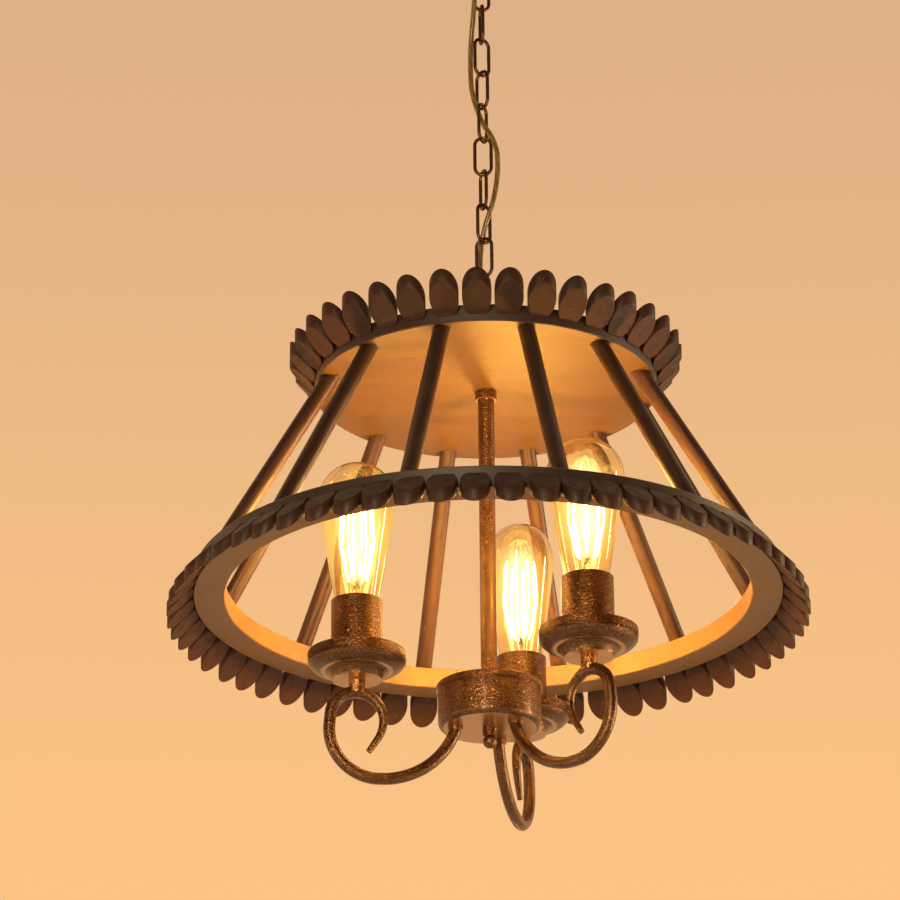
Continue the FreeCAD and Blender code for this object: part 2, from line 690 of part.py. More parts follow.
def bulb_filaments():
    """A glass stem on its foot, with straight lit filaments in two tiers round a middle wire."""
    floor = cap_low + PLUG_H + RUN
    levels = [cup_top + level for level in FILAMENT_LEVELS]
    shape = cylinder(CAP_R - CAP_T - FIT, floor, floor + PLUG_H)
    shape = shape.fuse(cylinder(MOUNT_R, floor, levels[0]))
    shape = shape.fuse(cylinder(FILAMENT_R, levels[0] - 1, levels[2]))
    for k in (0, 2):
        web_r = FILAMENT_CIRCLES[k] + FILAMENT_R
        shape = shape.fuse(cylinder(web_r, levels[k] - FILAMENT_R, levels[k]))
    for k in range(FILAMENTS):
        for tier in (0, 1):
            low = V(FILAMENT_CIRCLES[tier], 0, levels[tier] - FILAMENT_R / 2)
            high = V(FILAMENT_CIRCLES[tier + 1], 0, levels[tier + 1] - FILAMENT_R / 2)
            along = high - low
            stick = Part.makeCylinder(FILAMENT_R, along.Length, low, along)
            shape = shape.fuse(at_angle(stick, k * 360.0 / FILAMENTS))
    for k in range(FILAMENTS):
        knee = V(FILAMENT_CIRCLES[1], 0, levels[1] - FILAMENT_R / 2)
        shape = shape.fuse(at_angle(Part.makeSphere(FILAMENT_R, knee), k * 360.0 / FILAMENTS))
    return shape


def placed_lamp(shape, azimuth):
    """A piece of a lamp moved from the axis to the end of its arm."""
    copy = shape.copy()
    copy.translate(V(REACH, 0, 0))
    return at_angle(copy, azimuth)


# ---- wiring in the hub ----

def lamp_lead():
    """The lead of one lamp: down its coupling, through the arm and over into a connector."""
    entry = curl_top - LEAD_OFFSET + LEAD_TURN_R
    entry_x = REACH - LEAD_TURN_R
    exit_x = ARM_EXIT_R + LEAD_OFFSET
    start = V(entry_x, 0, cup_low + CUP_WALL + RUN)
    turn_r = (exit_x - CONNECTOR_AT) / 2
    turn_x = (exit_x + CONNECTOR_AT) / 2
    turn_z = hub_floor + CONNECTOR_H
    leave, swoop, rise, curl = [bend(x, z, radius, last, first)
                                for x, z, radius, first, last in arm_bends(LEAD_OFFSET)]
    edges = [line(start, V(entry_x, 0, entry)),
             bend(REACH, entry, LEAD_TURN_R, 180, 270),
             curl,
             line(on_circle(REACH, curl_z, CURL_R - LEAD_OFFSET, join_angle),
                  on_circle(swoop_x, rise_z, rise_r - LEAD_OFFSET, join_angle)),
             rise,
             swoop,
             leave,
             line(V(exit_x, 0, leave_z), V(exit_x, 0, turn_z)),
             bend(turn_x, turn_z, turn_r, 0, 90),
             bend(turn_x, turn_z, turn_r, 90, 180),
             line(V(CONNECTOR_AT, 0, turn_z), V(CONNECTOR_AT, 0, turn_z - CONNECTOR_MOUTH))]
    return swept(edges, LEAD_R, start, V(0, 0, -1))


def wire_connector():
    """A twist-on connector that stands on the hub's floor with its mouth up."""
    high = hub_floor + CONNECTOR_H
    body = Part.makeCone(CONNECTOR_TIP_R, CONNECTOR_R, CONNECTOR_H,
                         V(CONNECTOR_AT, 0, hub_floor))
    return body.cut(cylinder(LEAD_R + FIT, high - CONNECTOR_MOUTH, high + 1, CONNECTOR_AT))


def build():
    os.makedirs("parts", exist_ok=True)
    save("canopy", canopy())
    save("crossbar", crossbar())
    save("canopy_pipe", pipe(-CANOPY_H - PIPE_GRIP + RUN, -RUN))
    save("canopy_lock_nut", hex_nut(NUT_FLATS, PIPE_R + FIT, -BAR_T - NUT_H, -BAR_T))
    save("canopy_loop", canopy_loop())
    for k, yaw in enumerate(LINK_YAWS):
        save("chain_link_%02d" % (k + 1), chain_link(link_first_top - k * LINK_PITCH, yaw))
    save("power_cord", cord_solid(CORD_ROUTE, CORD_R))

    save("top_loop", top_loop())
    save("disc_pipe", pipe(disc_low - PIPE_GRIP, top_collar_low + PIPE_GRIP - RUN))
    save("disc_washer", tube(WASHER_R, PIPE_R + FIT, disc_top, disc_top + WASHER_T))
    save("disc_nut", hex_nut(NUT_FLATS, PIPE_R + FIT, disc_top + WASHER_T, top_collar_low))
    save("top_disc", top_disc())
    save("upper_petals", petals(UPPER_PETAL_COUNT, UPPER_FIRST, DISC_R, disc_low + UPPER_LIFT,
                                PETAL_SLOPE))
    save("spokes", spokes(SPOKE_R, 0))
    save("lower_ring", lower_ring())
    save("lower_petals", petals(LOWER_PETAL_COUNT, LOWER_FIRST, RING_R_OUT, ring_low + LOWER_LIFT,
                                -PETAL_SLOPE))

    save("stem_collar", tube(STEM_COLLAR_R, STEM_R + FIT, disc_low - STEM_COLLAR_H, disc_low))
    save("stem_tube", tube(STEM_R, PIPE_R + FIT, hub_top, disc_low))
    save("hub_pipe", pipe(hub_low - PIPE_END, hub_top + PIPE_GRIP))
    save("hub_lid", hub_lid())
    save("hub_body", hub_body())
    save("hub_nuts", hub_nuts())
    save("finial", finial())

    bare_arm = arm()
    bare_coupling = coupling()
    nut = hex_nut(ARM_NUT_FLATS, ARM_R + FIT, hub_floor, hub_floor + ARM_NUT_H, ARM_EXIT_R)
    lead = lamp_lead()
    connector = wire_connector()
    save("arm_nuts", [at_angle(nut, a) for a in ARM_AZIMUTHS])
    save("couplings", [at_angle(bare_coupling, a) for a in ARM_AZIMUTHS])
    save("lamp_leads", [at_angle(lead, a) for a in ARM_AZIMUTHS])
    save("wire_connectors", [at_angle(connector, a) for a in ARM_AZIMUTHS])
    for k, azimuth in enumerate(ARM_AZIMUTHS):
        number = "_%d" % (k + 1)
        save("arm" + number, at_angle(bare_arm, azimuth))
        save("dish" + number, placed_lamp(dish(), azimuth))
        save("cup" + number, placed_lamp(cup(), azimuth))
        save("lampholder" + number, placed_lamp(lampholder(), azimuth))
        save("bulb_glass" + number, placed_lamp(bulb_glass(BULB_RADII[k]), azimuth))
        save("bulb_cap" + number, placed_lamp(bulb_cap(), azimuth))
        save("bulb_filaments" + number, placed_lamp(bulb_filaments(), azimuth))
        save("bulb_contact" + number, placed_lamp(bulb_contact(), azimuth))

    print("disc_low %.2f ring_low %.2f hub_low %.2f curl_top %.2f dish_low %.2f cup_top %.2f"
          % (disc_low, ring_low, hub_low, curl_top, dish_low, cup_top))


build()
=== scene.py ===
import json
import math
import random

import bmesh
import bpy
from bpy.props import FloatProperty, FloatVectorProperty, IntProperty, PointerProperty
from mathutils import Matrix, Vector, noise


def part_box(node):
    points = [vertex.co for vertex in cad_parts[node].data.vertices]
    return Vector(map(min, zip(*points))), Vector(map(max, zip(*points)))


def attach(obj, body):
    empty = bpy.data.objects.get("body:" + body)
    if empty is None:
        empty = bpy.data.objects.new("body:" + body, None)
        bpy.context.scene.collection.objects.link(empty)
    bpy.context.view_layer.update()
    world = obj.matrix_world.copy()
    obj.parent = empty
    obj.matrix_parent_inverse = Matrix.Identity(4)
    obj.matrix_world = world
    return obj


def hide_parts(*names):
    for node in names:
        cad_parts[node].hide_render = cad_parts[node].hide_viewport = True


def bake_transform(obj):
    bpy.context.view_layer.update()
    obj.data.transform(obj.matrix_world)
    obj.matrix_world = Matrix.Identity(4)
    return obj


bl_info = {
    "name": "Wagon wheel chandelier",
    "version": (1, 0, 0),
    "blender": (4, 5, 0),
    "location": "View3D > Sidebar > Chandelier",
    "description": "Dresses the wagon wheel chandelier piece by piece",
    "category": "Object",
}

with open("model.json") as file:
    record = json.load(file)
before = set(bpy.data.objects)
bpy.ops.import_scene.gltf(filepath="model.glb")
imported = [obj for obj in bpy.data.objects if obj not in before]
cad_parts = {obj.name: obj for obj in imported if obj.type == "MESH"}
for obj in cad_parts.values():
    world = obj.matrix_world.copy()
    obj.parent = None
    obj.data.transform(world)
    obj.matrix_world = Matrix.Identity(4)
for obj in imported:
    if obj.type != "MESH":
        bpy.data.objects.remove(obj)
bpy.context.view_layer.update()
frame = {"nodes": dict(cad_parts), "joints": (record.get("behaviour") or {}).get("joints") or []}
NODES = frame["nodes"]
MM = 0.001
LAMPS = (1, 2, 3)


def low(node):
    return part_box(node)[0][2]


def high(node):
    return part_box(node)[1][2]


def outer(node):
    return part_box(node)[1][0]


def width(node):
    return outer(node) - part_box(node)[0][0]


# ---- settings that a user would change ----


def stain(name, description, colour):
    """A colour setting, written as a screen shows it."""
    return FloatVectorProperty(
        name=name, description=description, default=colour, subtype="COLOR_GAMMA", size=3, min=0,
            max=1)


def length(name, description, value):
    return FloatProperty(name=name, description=description, default=value, min=0, unit="LENGTH",
            precision=5)


def angle(name, description, degrees):
    return FloatProperty(name=name, description=description, default=math.radians(degrees),
            subtype="ANGLE",
            unit="ROTATION")


def power(name, description, watts):
    return FloatProperty(name=name, description=description, default=watts, min=0, unit="POWER")


class WheelSettings(bpy.types.PropertyGroup):
    """The wooden wheel: boards, dowel spokes and petals."""

    board_stain: stain("Board stain", "Stain of the round board and the ring", (0.50, 0.33, 0.115))
    edge_stain: stain("Edge stain", "Darker stain on the outer edges of the boards",
            (0.26, 0.15, 0.08))
    dowel_stain: stain("Dowel stain", "Stain of the spokes", (0.30, 0.175, 0.08))
    petal_stain: stain("Petal stain", "Stain of the petals round both edges", (0.28, 0.15, 0.068))
    petal_radius: length("Petal radius", "Radius of the dowel that the petals are sliced from",
            12 * MM)
    petal_flat: length("Petal flat", "Depth planed off a petal's back", 2.5 * MM)
    petal_height: length("Petal height", "Upright height of a slice", 12 * MM)
    petal_edge: length("Petal edge", "Rounding of a petal's sanded edges", 0.7 * MM)
    upper_petals: IntProperty(name="Upper petals", description="Petals round the board",
            default=36, min=1)
    upper_first: angle("First upper petal", "Where the first upper petal stands", -93.2)
    lower_petals: IntProperty(name="Lower petals", description="Petals round the ring", default=61,
            min=1)
    lower_first: angle("First lower petal", "Where the first lower petal stands", -86.4)
    spokes: IntProperty(name="Spokes", description="Dowels between the board and the ring",
            default=12, min=1)
    spoke_first: angle("First spoke", "Where the first spoke stands", 14.0)
    spoke_radius: length("Spoke radius", "Radius of a spoke", 7 * MM)
    spoke_top: length("Spoke top", "Where a spoke meets the board, from the axis", 133 * MM)
    spoke_foot: length("Spoke foot", "Where a spoke meets the ring, from the axis", 229 * MM)


class MetalSettings(bpy.types.PropertyGroup):
    """The hammered fitting and its chain."""

    bronze: stain("Bronze", "Body colour of the hammered finish", (0.33, 0.205, 0.11))
    # Copper serves the real flecks and rubbed edges, and also painted glints, a painted highlight on raised
    # cells and a painted reflection on flat undersides.
    copper: stain("Copper", "Bright flecks of the hammered finish", (0.90, 0.64, 0.36))
    cell: length("Hammer cell", "Width of one cell of the hammered finish", 1.35 * MM)
    edge: length("Metal edge", "Rounding of the pressed edges", 0.35 * MM)
    chain: stain("Chain", "Colour of the chain", (0.36, 0.215, 0.12))
    wire: length("Chain wire", "Radius of the chain's wire", 1.5 * MM)
    link_width: length("Link width", "Outer width of a link", 17 * MM)


class BulbSettings(bpy.types.PropertyGroup):
    """The three filament bulbs."""

    glass: stain("Glass", "Tint of the glass", (1.0, 0.95, 0.82))
    glow: stain("Glow", "Colour of the lit filaments", (1.0, 0.90, 0.66))
    # Haze colour and strength set a painted glow: emission laid on the glass, not light from a lamp.
    painted_haze: stain("Haze", "Colour of the glow seen in the glass", (1.0, 0.80, 0.36))
    filament: FloatProperty(name="Filament", description="Brightness of the filaments",
            default=14.0, min=0)
    painted_haze_strength: FloatProperty(name="Haze strength", description="Brightness of the glow",
            default=1.0, min=0)
    wall: length("Glass wall", "Thickness of the glass", 0.8 * MM)
    thread: length("Thread depth", "Depth of the cap's rolled thread", 0.9 * MM)
    light: power("Bulb light", "Light that each bulb sheds", 2.3)


class CordSettings(bpy.types.PropertyGroup):
    """The power cord woven through the chain."""

    gold: stain("Gold", "Colour of the cord's sleeve", (0.60, 0.44, 0.17))
    radius: length("Cord radius", "Radius of the cord", 2.25 * MM)


class StudioSettings(bpy.types.PropertyGroup):
    """Light, floor and camera."""

    wall_high: stain("Upper backdrop", "Backdrop colour high up", (0.872, 0.692, 0.528))
    wall_low: stain("Lower backdrop", "Backdrop colour low down", (0.988, 0.765, 0.518))
    floor: stain("Floor", "Colour of the floor", (0.98, 0.91, 0.82))
    ambient: FloatProperty(name="Ambient", description="Strength of the light from all round",
            default=0.52, min=0)
    key: power("Key light", "Soft light at the front", 12.0)
    fill: power("Fill light", "Soft lights at both sides", 15.0)
    strip: power("Strip lights", "Two narrow lights that draw streaks in glass and metal", 34.0)
    lens: FloatProperty(name="Lens", description="Focal length for a 36 mm sensor", default=172.5,
            unit="CAMERA")
    elevation: angle("Camera elevation", "How far the camera looks up", 23.026)
    roll: angle("Camera roll", "How far the camera leans sideways", -0.477)


SETTINGS = {
    "chandelier_wheel": WheelSettings,
    "chandelier_metal": MetalSettings,
    "chandelier_bulb": BulbSettings,
    "chandelier_cord": CordSettings,
    "chandelier_studio": StudioSettings,
}


# ---- node helpers ----


def linear(colour):
    """A colour as a screen shows it, turned into one for the shader."""
    return tuple(c / 12.92 if c <= 0.04045 else ((c
            + 0.055) / 1.055) ** 2.4 for c in colour) + (1.0,)


def shaded(colour, gain):
    """A colour for the shader, made lighter or darker."""
    return tuple(min(1.0, c * gain) for c in linear(colour)[:3]) + (1.0,)


def shades(colour):
    """What gives one setting's lighter and darker colours."""
    return lambda gain: shaded(colour, gain)


def put(tree, kind, inputs=None, **settings):
    """A new node with its settings and inputs, where an input is a value or another node's output."""
    node = tree.nodes.new(kind)
    for key, value in settings.items():
        setattr(node, key, value)
    for key, value in (inputs or {}).items():
        if isinstance(value, bpy.types.NodeSocket):
            tree.links.new(value, node.inputs[key])
        else:
            node.inputs[key].default_value = value
    return node


def feed(node, label, value):
    """Links another node's output to an input of this one."""
    node.id_data.links.new(value, node.inputs[label])


def maths(tree, operation, a, b=0.0):
    return put(tree, "ShaderNodeMath", {0: a, 1: b}, operation=operation).outputs[0]


def times(tree, a, b):
    return maths(tree, "MULTIPLY", a, b)


def coordinate(tree, vector, axis):
    """One of a vector's X, Y and Z, counted from 0."""
    return put(tree, "ShaderNodeSeparateXYZ", {0: vector}).outputs[axis]


def world_normal(tree):
    return put(tree, "ShaderNodeNewGeometry").outputs["Normal"]


def spread(tree, value, start, end, to_start=0.0, to_end=1.0):
    """A value taken from start..end to to_start..to_end with soft ends."""
    return put(tree, "ShaderNodeMapRange", {0: value, 1: start, 2: end, 3: to_start, 4: to_end},
            interpolation_type="SMOOTHSTEP").outputs[0]


def mixed(tree, factor, a, b):
    """Two colours mixed by a factor."""
    return put(tree, "ShaderNodeMix", {0: factor, 6: a, 7: b}, data_type="RGBA").outputs[2]


def glazed(tree, under, mask, share, over):
    """A colour with a share of another over it, where a mask is on."""
    return mixed(tree, times(tree, mask, share), under, over)


def cloud(tree, place, scale, detail=3.0, roughness=0.55, distortion=0.0):
    """Soft noise between 0 and 1."""
    return put(tree, "ShaderNodeTexNoise",
            {"Vector": place, "Scale": scale, "Detail": detail, "Roughness": roughness,
            "Distortion": distortion}).outputs[0]


def stretched(tree, place, scale):
    """A place scaled unevenly, such as along the grain."""
    return put(tree, "ShaderNodeVectorMath", {0: place, 1: scale}, operation="MULTIPLY").outputs[0]


def new_group(name, takes, gives):
    """A shader node group with named sockets. Returns its tree, its inputs and its outputs."""
    tree = bpy.data.node_groups.new(name, "ShaderNodeTree")
    for label, kind, value in takes:
        socket = tree.interface.new_socket(label, in_out="INPUT", socket_type=kind)
        if value is not None:
            socket.default_value = value
    for label, kind in gives:
        tree.interface.new_socket(label, in_out="OUTPUT", socket_type=kind)
    source = tree.nodes.new("NodeGroupInput")
    sink = tree.nodes.new("NodeGroupOutput")
    return tree, source.outputs, sink.inputs


def placed_group(tree, name, inputs):
    """A node group's outputs. The group is built the first time that a material asks for it."""
    made = bpy.data.node_groups.get(name) or GROUP_BUILDERS[name]()
    return put(tree, "ShaderNodeGroup", inputs, node_tree=made).outputs


VECTOR, FLOAT = "NodeSocketVector", "NodeSocketFloat"


def grain_group():
    """Fibres, growth bands and open pores of stained timber. The grain runs along Z of the place."""
    tree, takes, gives = new_group(
        "Timber grain",
        [("Place", VECTOR, None), ("Fibre width", FLOAT, 0.0009), ("Band width", FLOAT, 0.012)],
        [("Tone", FLOAT), ("Pores", FLOAT), ("Height", FLOAT)])
    place = takes["Place"]
    fibre_scale = maths(tree, "DIVIDE", 1.0, takes["Fibre width"])
    band_scale = maths(tree, "DIVIDE", 1.0, takes["Band width"])
    fibres = cloud(tree, stretched(tree, place, (1, 1, 0.035)), fibre_scale, 4.0, 0.6)
    bands = cloud(tree, stretched(tree, place, (1, 1, 0.12)), band_scale, 2.0, 0.5, 0.6)
    pore_scale = times(tree, fibre_scale, 0.7)
    pore = spread(tree, cloud(tree, stretched(tree, place, (1, 1, 0.09)), pore_scale, 1.0), 0.62,
            0.72)
    tone = maths(tree, "ADD", times(tree, fibres, 0.45), times(tree, bands, 0.55))
    height = maths(tree, "SUBTRACT", fibres, times(tree, pore, 0.8))
    tree.links.new(spread(tree, tone, 0.3, 0.7), gives["Tone"])
    tree.links.new(pore, gives["Pores"])
    tree.links.new(height, gives["Height"])
    return tree


def hammer_group():
    """The cells of a hammered finish, with bright copper flecks in some of them: partly the flake of the
    finish, partly painted glints.
    """
    tree, takes, gives = new_group(
        "Hammered cells",
        [("Place", VECTOR, None), ("Cell", FLOAT, 0.0013)],
        [("Height", FLOAT), ("Flecks", FLOAT), ("Tone", FLOAT)])
    scale = maths(tree, "DIVIDE", 1.0, takes["Cell"])
    wander = put(tree, "ShaderNodeTexNoise",
            {"Vector": takes["Place"], "Scale": times(tree, scale, 0.6)})
    bent = put(tree, "ShaderNodeVectorMath",
            {0: wander.outputs["Color"], 1: (0.0008, 0.0008, 0.0008)},
            operation="MULTIPLY").outputs[0]
    place = put(tree, "ShaderNodeVectorMath", {0: takes["Place"], 1: bent},
            operation="ADD").outputs[0]
    cells = put(tree, "ShaderNodeTexVoronoi",
            {"Vector": place, "Scale": scale, "Smoothness": 0.35},
            feature="SMOOTH_F1")
    fine = cloud(tree, takes["Place"], times(tree, scale, 2.4), 2.0)
    height = maths(tree, "ADD",
            times(tree, maths(tree, "POWER", cells.outputs["Distance"], 1.6), -1.0),
            times(tree, fine, 0.25))
    # Flecks: partly copper flake in the paint, partly painted glints where light would catch the hammer
    # marks.
    glint_fleck_cells = put(tree, "ShaderNodeTexVoronoi",
            {"Vector": place, "Scale": times(tree, scale, 1.35)},
            feature="F1")
    chance = put(tree, "ShaderNodeSeparateColor", {0: glint_fleck_cells.outputs["Color"]}).outputs[0]
    near = spread(tree, glint_fleck_cells.outputs["Distance"], 0.45, 0.2)
    flecks_and_painted_glints = times(tree, spread(tree, chance, 0.62, 0.92), near)
    tree.links.new(height, gives["Height"])
    tree.links.new(flecks_and_painted_glints, gives["Flecks"])
    tree.links.new(cloud(tree, takes["Place"], 45.0, 3.0), gives["Tone"])
    return tree


def wear_group():
    """A mask of convex edges, broken up as rubbed paint or stain is."""
    tree, takes, gives = new_group(
        "Worn edges",
        [("Place", VECTOR, None), ("Start", FLOAT, 0.52), ("End", FLOAT, 0.62),
            ("Break-up", FLOAT, 350.0)],
        [("Mask", FLOAT)])
    pointed = put(tree, "ShaderNodeNewGeometry").outputs["Pointiness"]
    edge = put(tree, "ShaderNodeMapRange",
            {0: pointed, 1: takes["Start"], 2: takes["End"]}).outputs[0]
    patchy = spread(tree, cloud(tree, takes["Place"], takes["Break-up"], 3.0), 0.35, 0.6)
    tree.links.new(times(tree, edge, patchy), gives["Mask"])
    return tree


def dust_group():
    """A mask of pale dust: a film on what faces up, and single specks everywhere."""
    tree, takes, gives = new_group(
        "Settled dust",
        [("Place", VECTOR, None), ("Film", FLOAT, 0.5), ("Speck spacing", FLOAT, 0.006)],
        [("Film", FLOAT), ("Specks", FLOAT)])
    normal = world_normal(tree)
    upward = coordinate(tree, normal, 2)
    patchy = spread(tree, cloud(tree, takes["Place"], 90.0, 4.0), 0.3, 0.75, 0.3, 1.0)
    film = times(tree, spread(tree, upward, 0.55, 1.0), patchy)
    spots = put(tree, "ShaderNodeTexVoronoi",
            {"Vector": takes["Place"],
            "Scale": maths(tree, "DIVIDE", 1.0, takes["Speck spacing"])}, feature="F1")
    chance = put(tree, "ShaderNodeSeparateColor", {0: spots.outputs["Color"]}).outputs[1]
    speck = times(tree, spread(tree, spots.outputs["Distance"], 0.085, 0.04),
            spread(tree, chance, 0.55, 0.6))
    tree.links.new(times(tree, film, takes["Film"]), gives["Film"])
    tree.links.new(speck, gives["Specks"])
    return tree


GROUP_BUILDERS = {
    "Timber grain": grain_group,
    "Hammered cells": hammer_group,
    "Worn edges": wear_group,
    "Settled dust": dust_group,
}


def new_material(name, fixed):
    """A material with one Principled surface, whose unchanging values are set on its own sockets."""
    material = bpy.data.materials.new(name)
    material.use_nodes = True
    tree = material.node_tree
    tree.nodes.clear()
    sink = tree.nodes.new("ShaderNodeOutputMaterial")
    surface = put(tree, "ShaderNodeBsdfPrincipled", fixed)
    feed(sink, "Surface", surface.outputs[0])
    return material, tree, surface, sink


def object_place(tree):
    return put(tree, "ShaderNodeTexCoord").outputs["Object"]


def own_place(tree):
    """Where a point lies in its own slice, dowel, link or cord, kept as an attribute of the mesh."""
    return put(tree, "ShaderNodeAttribute", attribute_name="grain_place").outputs["Vector"]


def own_tone(tree):
    return put(tree, "ShaderNodeAttribute", attribute_name="piece_tone").outputs["Fac"]


def bumped(tree, surface, height, distance, strength=1.0):
    bump = put(tree, "ShaderNodeBump",
            {"Height": height, "Distance": distance, "Strength": strength})
    feed(surface, "Normal", bump.outputs[0])


# ---- finishes ----


def stained_board(scene):
    """Flat boards: smooth brown stain over straight, close grain."""
    wheel = scene.chandelier_wheel
    board, edge = shades(wheel.board_stain), shades(wheel.edge_stain)
    material, tree, surface, _ = new_material("Stained board",
            {"Specular IOR Level": 0.38, "Coat Roughness": 0.4})
    place = object_place(tree)
    turned = put(tree, "ShaderNodeMapping",
            {"Vector": place, "Rotation": (0, math.radians(90), math.radians(8))}).outputs[0]
    grain = placed_group(tree, "Timber grain",
            {"Place": turned, "Fibre width": 0.0022, "Band width": 0.03})
    worn = placed_group(tree, "Worn edges", {"Place": place})
    dust = placed_group(tree, "Settled dust",
            {"Place": place, "Film": 0.25, "Speck spacing": 0.014})
    colour = mixed(tree, grain["Tone"], board(0.78), board(1.2))
    colour = glazed(tree, colour, grain["Pores"], 0.35, board(0.4))
    mottle = cloud(tree, place, 14.0, 3.0)
    colour = mixed(tree, spread(tree, mottle, 0.42, 0.7, 0.0, 0.28), colour, board(0.6))
    colour = glazed(tree, colour, worn["Mask"], 0.45, board(1.9))
    colour = glazed(tree, colour, dust["Specks"], 0.5, (0.62, 0.52, 0.42, 1))
    height = coordinate(tree, place, 2)
    on_disc = spread(tree, height, high("lower_ring"), low("top_disc"), 0.0, 0.72)
    colour = mixed(tree, on_disc, colour, board(0.25))
    normal = world_normal(tree)
    outward = put(tree, "ShaderNodeVectorMath", {0: normal, 1: stretched(tree, place, (1, 1, 0))},
            operation="DOT_PRODUCT").outputs["Value"]
    rough_edge = mixed(tree, mottle, edge(0.6), edge(1.3))
    colour = mixed(tree, spread(tree, outward, 0.04, 0.10), colour, rough_edge)
    colour = mixed(tree, dust["Film"], colour, (0.42, 0.35, 0.28, 1))
    feed(surface, "Base Color", colour)
    feed(surface, "Roughness", spread(tree, grain["Tone"], 0.0, 1.0, 0.42, 0.58))
    feed(surface, "Coat Weight", spread(tree, mottle, 0.3, 0.7, 0.12, 0.3))
    bumped(tree, surface, grain["Height"], 0.00012, 0.5)
    return material


def stained_dowel(scene):
    """Spokes: dark stain, fibres along the dowel, a low satin sheen."""
    dowel = shades(scene.chandelier_wheel.dowel_stain)
    material, tree, surface, _ = new_material("Stained dowel",
            {"Specular IOR Level": 0.3, "Coat Roughness": 0.3})
    place = own_place(tree)
    grain = placed_group(tree, "Timber grain",
            {"Place": place, "Fibre width": 0.0012, "Band width": 0.007})
    dust = placed_group(tree, "Settled dust",
            {"Place": place, "Film": 0.3, "Speck spacing": 0.009})
    colour = mixed(tree, grain["Tone"], dowel(0.66), dowel(1.3))
    colour = glazed(tree, colour, own_tone(tree), 0.4, dowel(0.7))
    colour = glazed(tree, colour, grain["Pores"], 0.6, dowel(0.25))
    colour = glazed(tree, colour, dust["Specks"], 0.55, (0.5, 0.36, 0.22, 1))
    feed(surface, "Base Color", colour)
    feed(surface, "Roughness", spread(tree, grain["Tone"], 0.0, 1.0, 0.34, 0.5))
    feed(surface, "Coat Weight", spread(tree, cloud(tree, place, 60.0), 0.3, 0.7, 0.05, 0.2))
    bumped(tree, surface, grain["Height"], 0.00014, 0.6)
    return material


def stained_petal(scene):
    """Petals: end grain on the two cuts, fine turning lines on the round side."""
    petal = shades(scene.chandelier_wheel.petal_stain)
    material, tree, surface, _ = new_material("Stained petal",
            {"Specular IOR Level": 0.22, "Coat Roughness": 0.45})
    place = own_place(tree)
    across = put(tree, "ShaderNodeSeparateXYZ", {0: place})
    flat = put(tree, "ShaderNodeCombineXYZ",
            {0: across.outputs[0], 1: across.outputs[1]}).outputs[0]
    upward = coordinate(tree, world_normal(tree), 2)
    on_cut = spread(tree, maths(tree, "ABSOLUTE", upward), 0.35, 0.6)
    grain = placed_group(tree, "Timber grain",
            {"Place": place, "Fibre width": 0.0011, "Band width": 0.008})
    worn = placed_group(tree, "Worn edges", {"Place": place, "Start": 0.53, "End": 0.60})
    dust = placed_group(tree, "Settled dust",
            {"Place": place, "Film": 0.3, "Speck spacing": 0.0075})
    rings = put(tree, "ShaderNodeTexWave",
            {"Vector": flat, "Scale": 260.0, "Distortion": 2.4, "Detail": 2.0,
            "Detail Scale": 1.6},
            wave_type="RINGS", rings_direction="Z").outputs["Fac"]
    turning = put(tree, "ShaderNodeTexWave",
            {"Vector": place, "Scale": 190.0, "Distortion": 1.2, "Detail": 2.0},
            wave_type="BANDS", bands_direction="Z").outputs["Fac"]
    side = mixed(tree, grain["Tone"], petal(0.85), petal(1.35))
    side = glazed(tree, side, turning, 0.3, petal(0.55))
    cut = glazed(tree, petal(0.95), rings, 0.5, petal(0.62))
    colour = mixed(tree, on_cut, side, cut)
    colour = glazed(tree, colour, own_tone(tree), 0.55, petal(0.5))
    blotch = cloud(tree, place, 130.0, 4.0)
    colour = mixed(tree, spread(tree, blotch, 0.55, 0.72, 0.0, 0.35), colour, petal(0.35))
    colour = glazed(tree, colour, worn["Mask"], 0.6, petal(2.4))
    colour = glazed(tree, colour, dust["Specks"], 0.45, (0.46, 0.33, 0.22, 1))
    colour = mixed(tree, dust["Film"], colour, (0.33, 0.26, 0.2, 1))
    feed(surface, "Base Color", colour)
    feed(surface, "Roughness", spread(tree, blotch, 0.3, 0.7, 0.45, 0.65))
    feed(surface, "Coat Weight", spread(tree, blotch, 0.4, 0.6, 0.08, 0.02))
    lines = maths(tree, "ADD", times(tree, grain["Height"], 0.6), times(tree, turning, 0.5))
    bumped(tree, surface, maths(tree, "ADD", lines, times(tree, rings, 0.25)), 0.00016, 0.7)
    return material


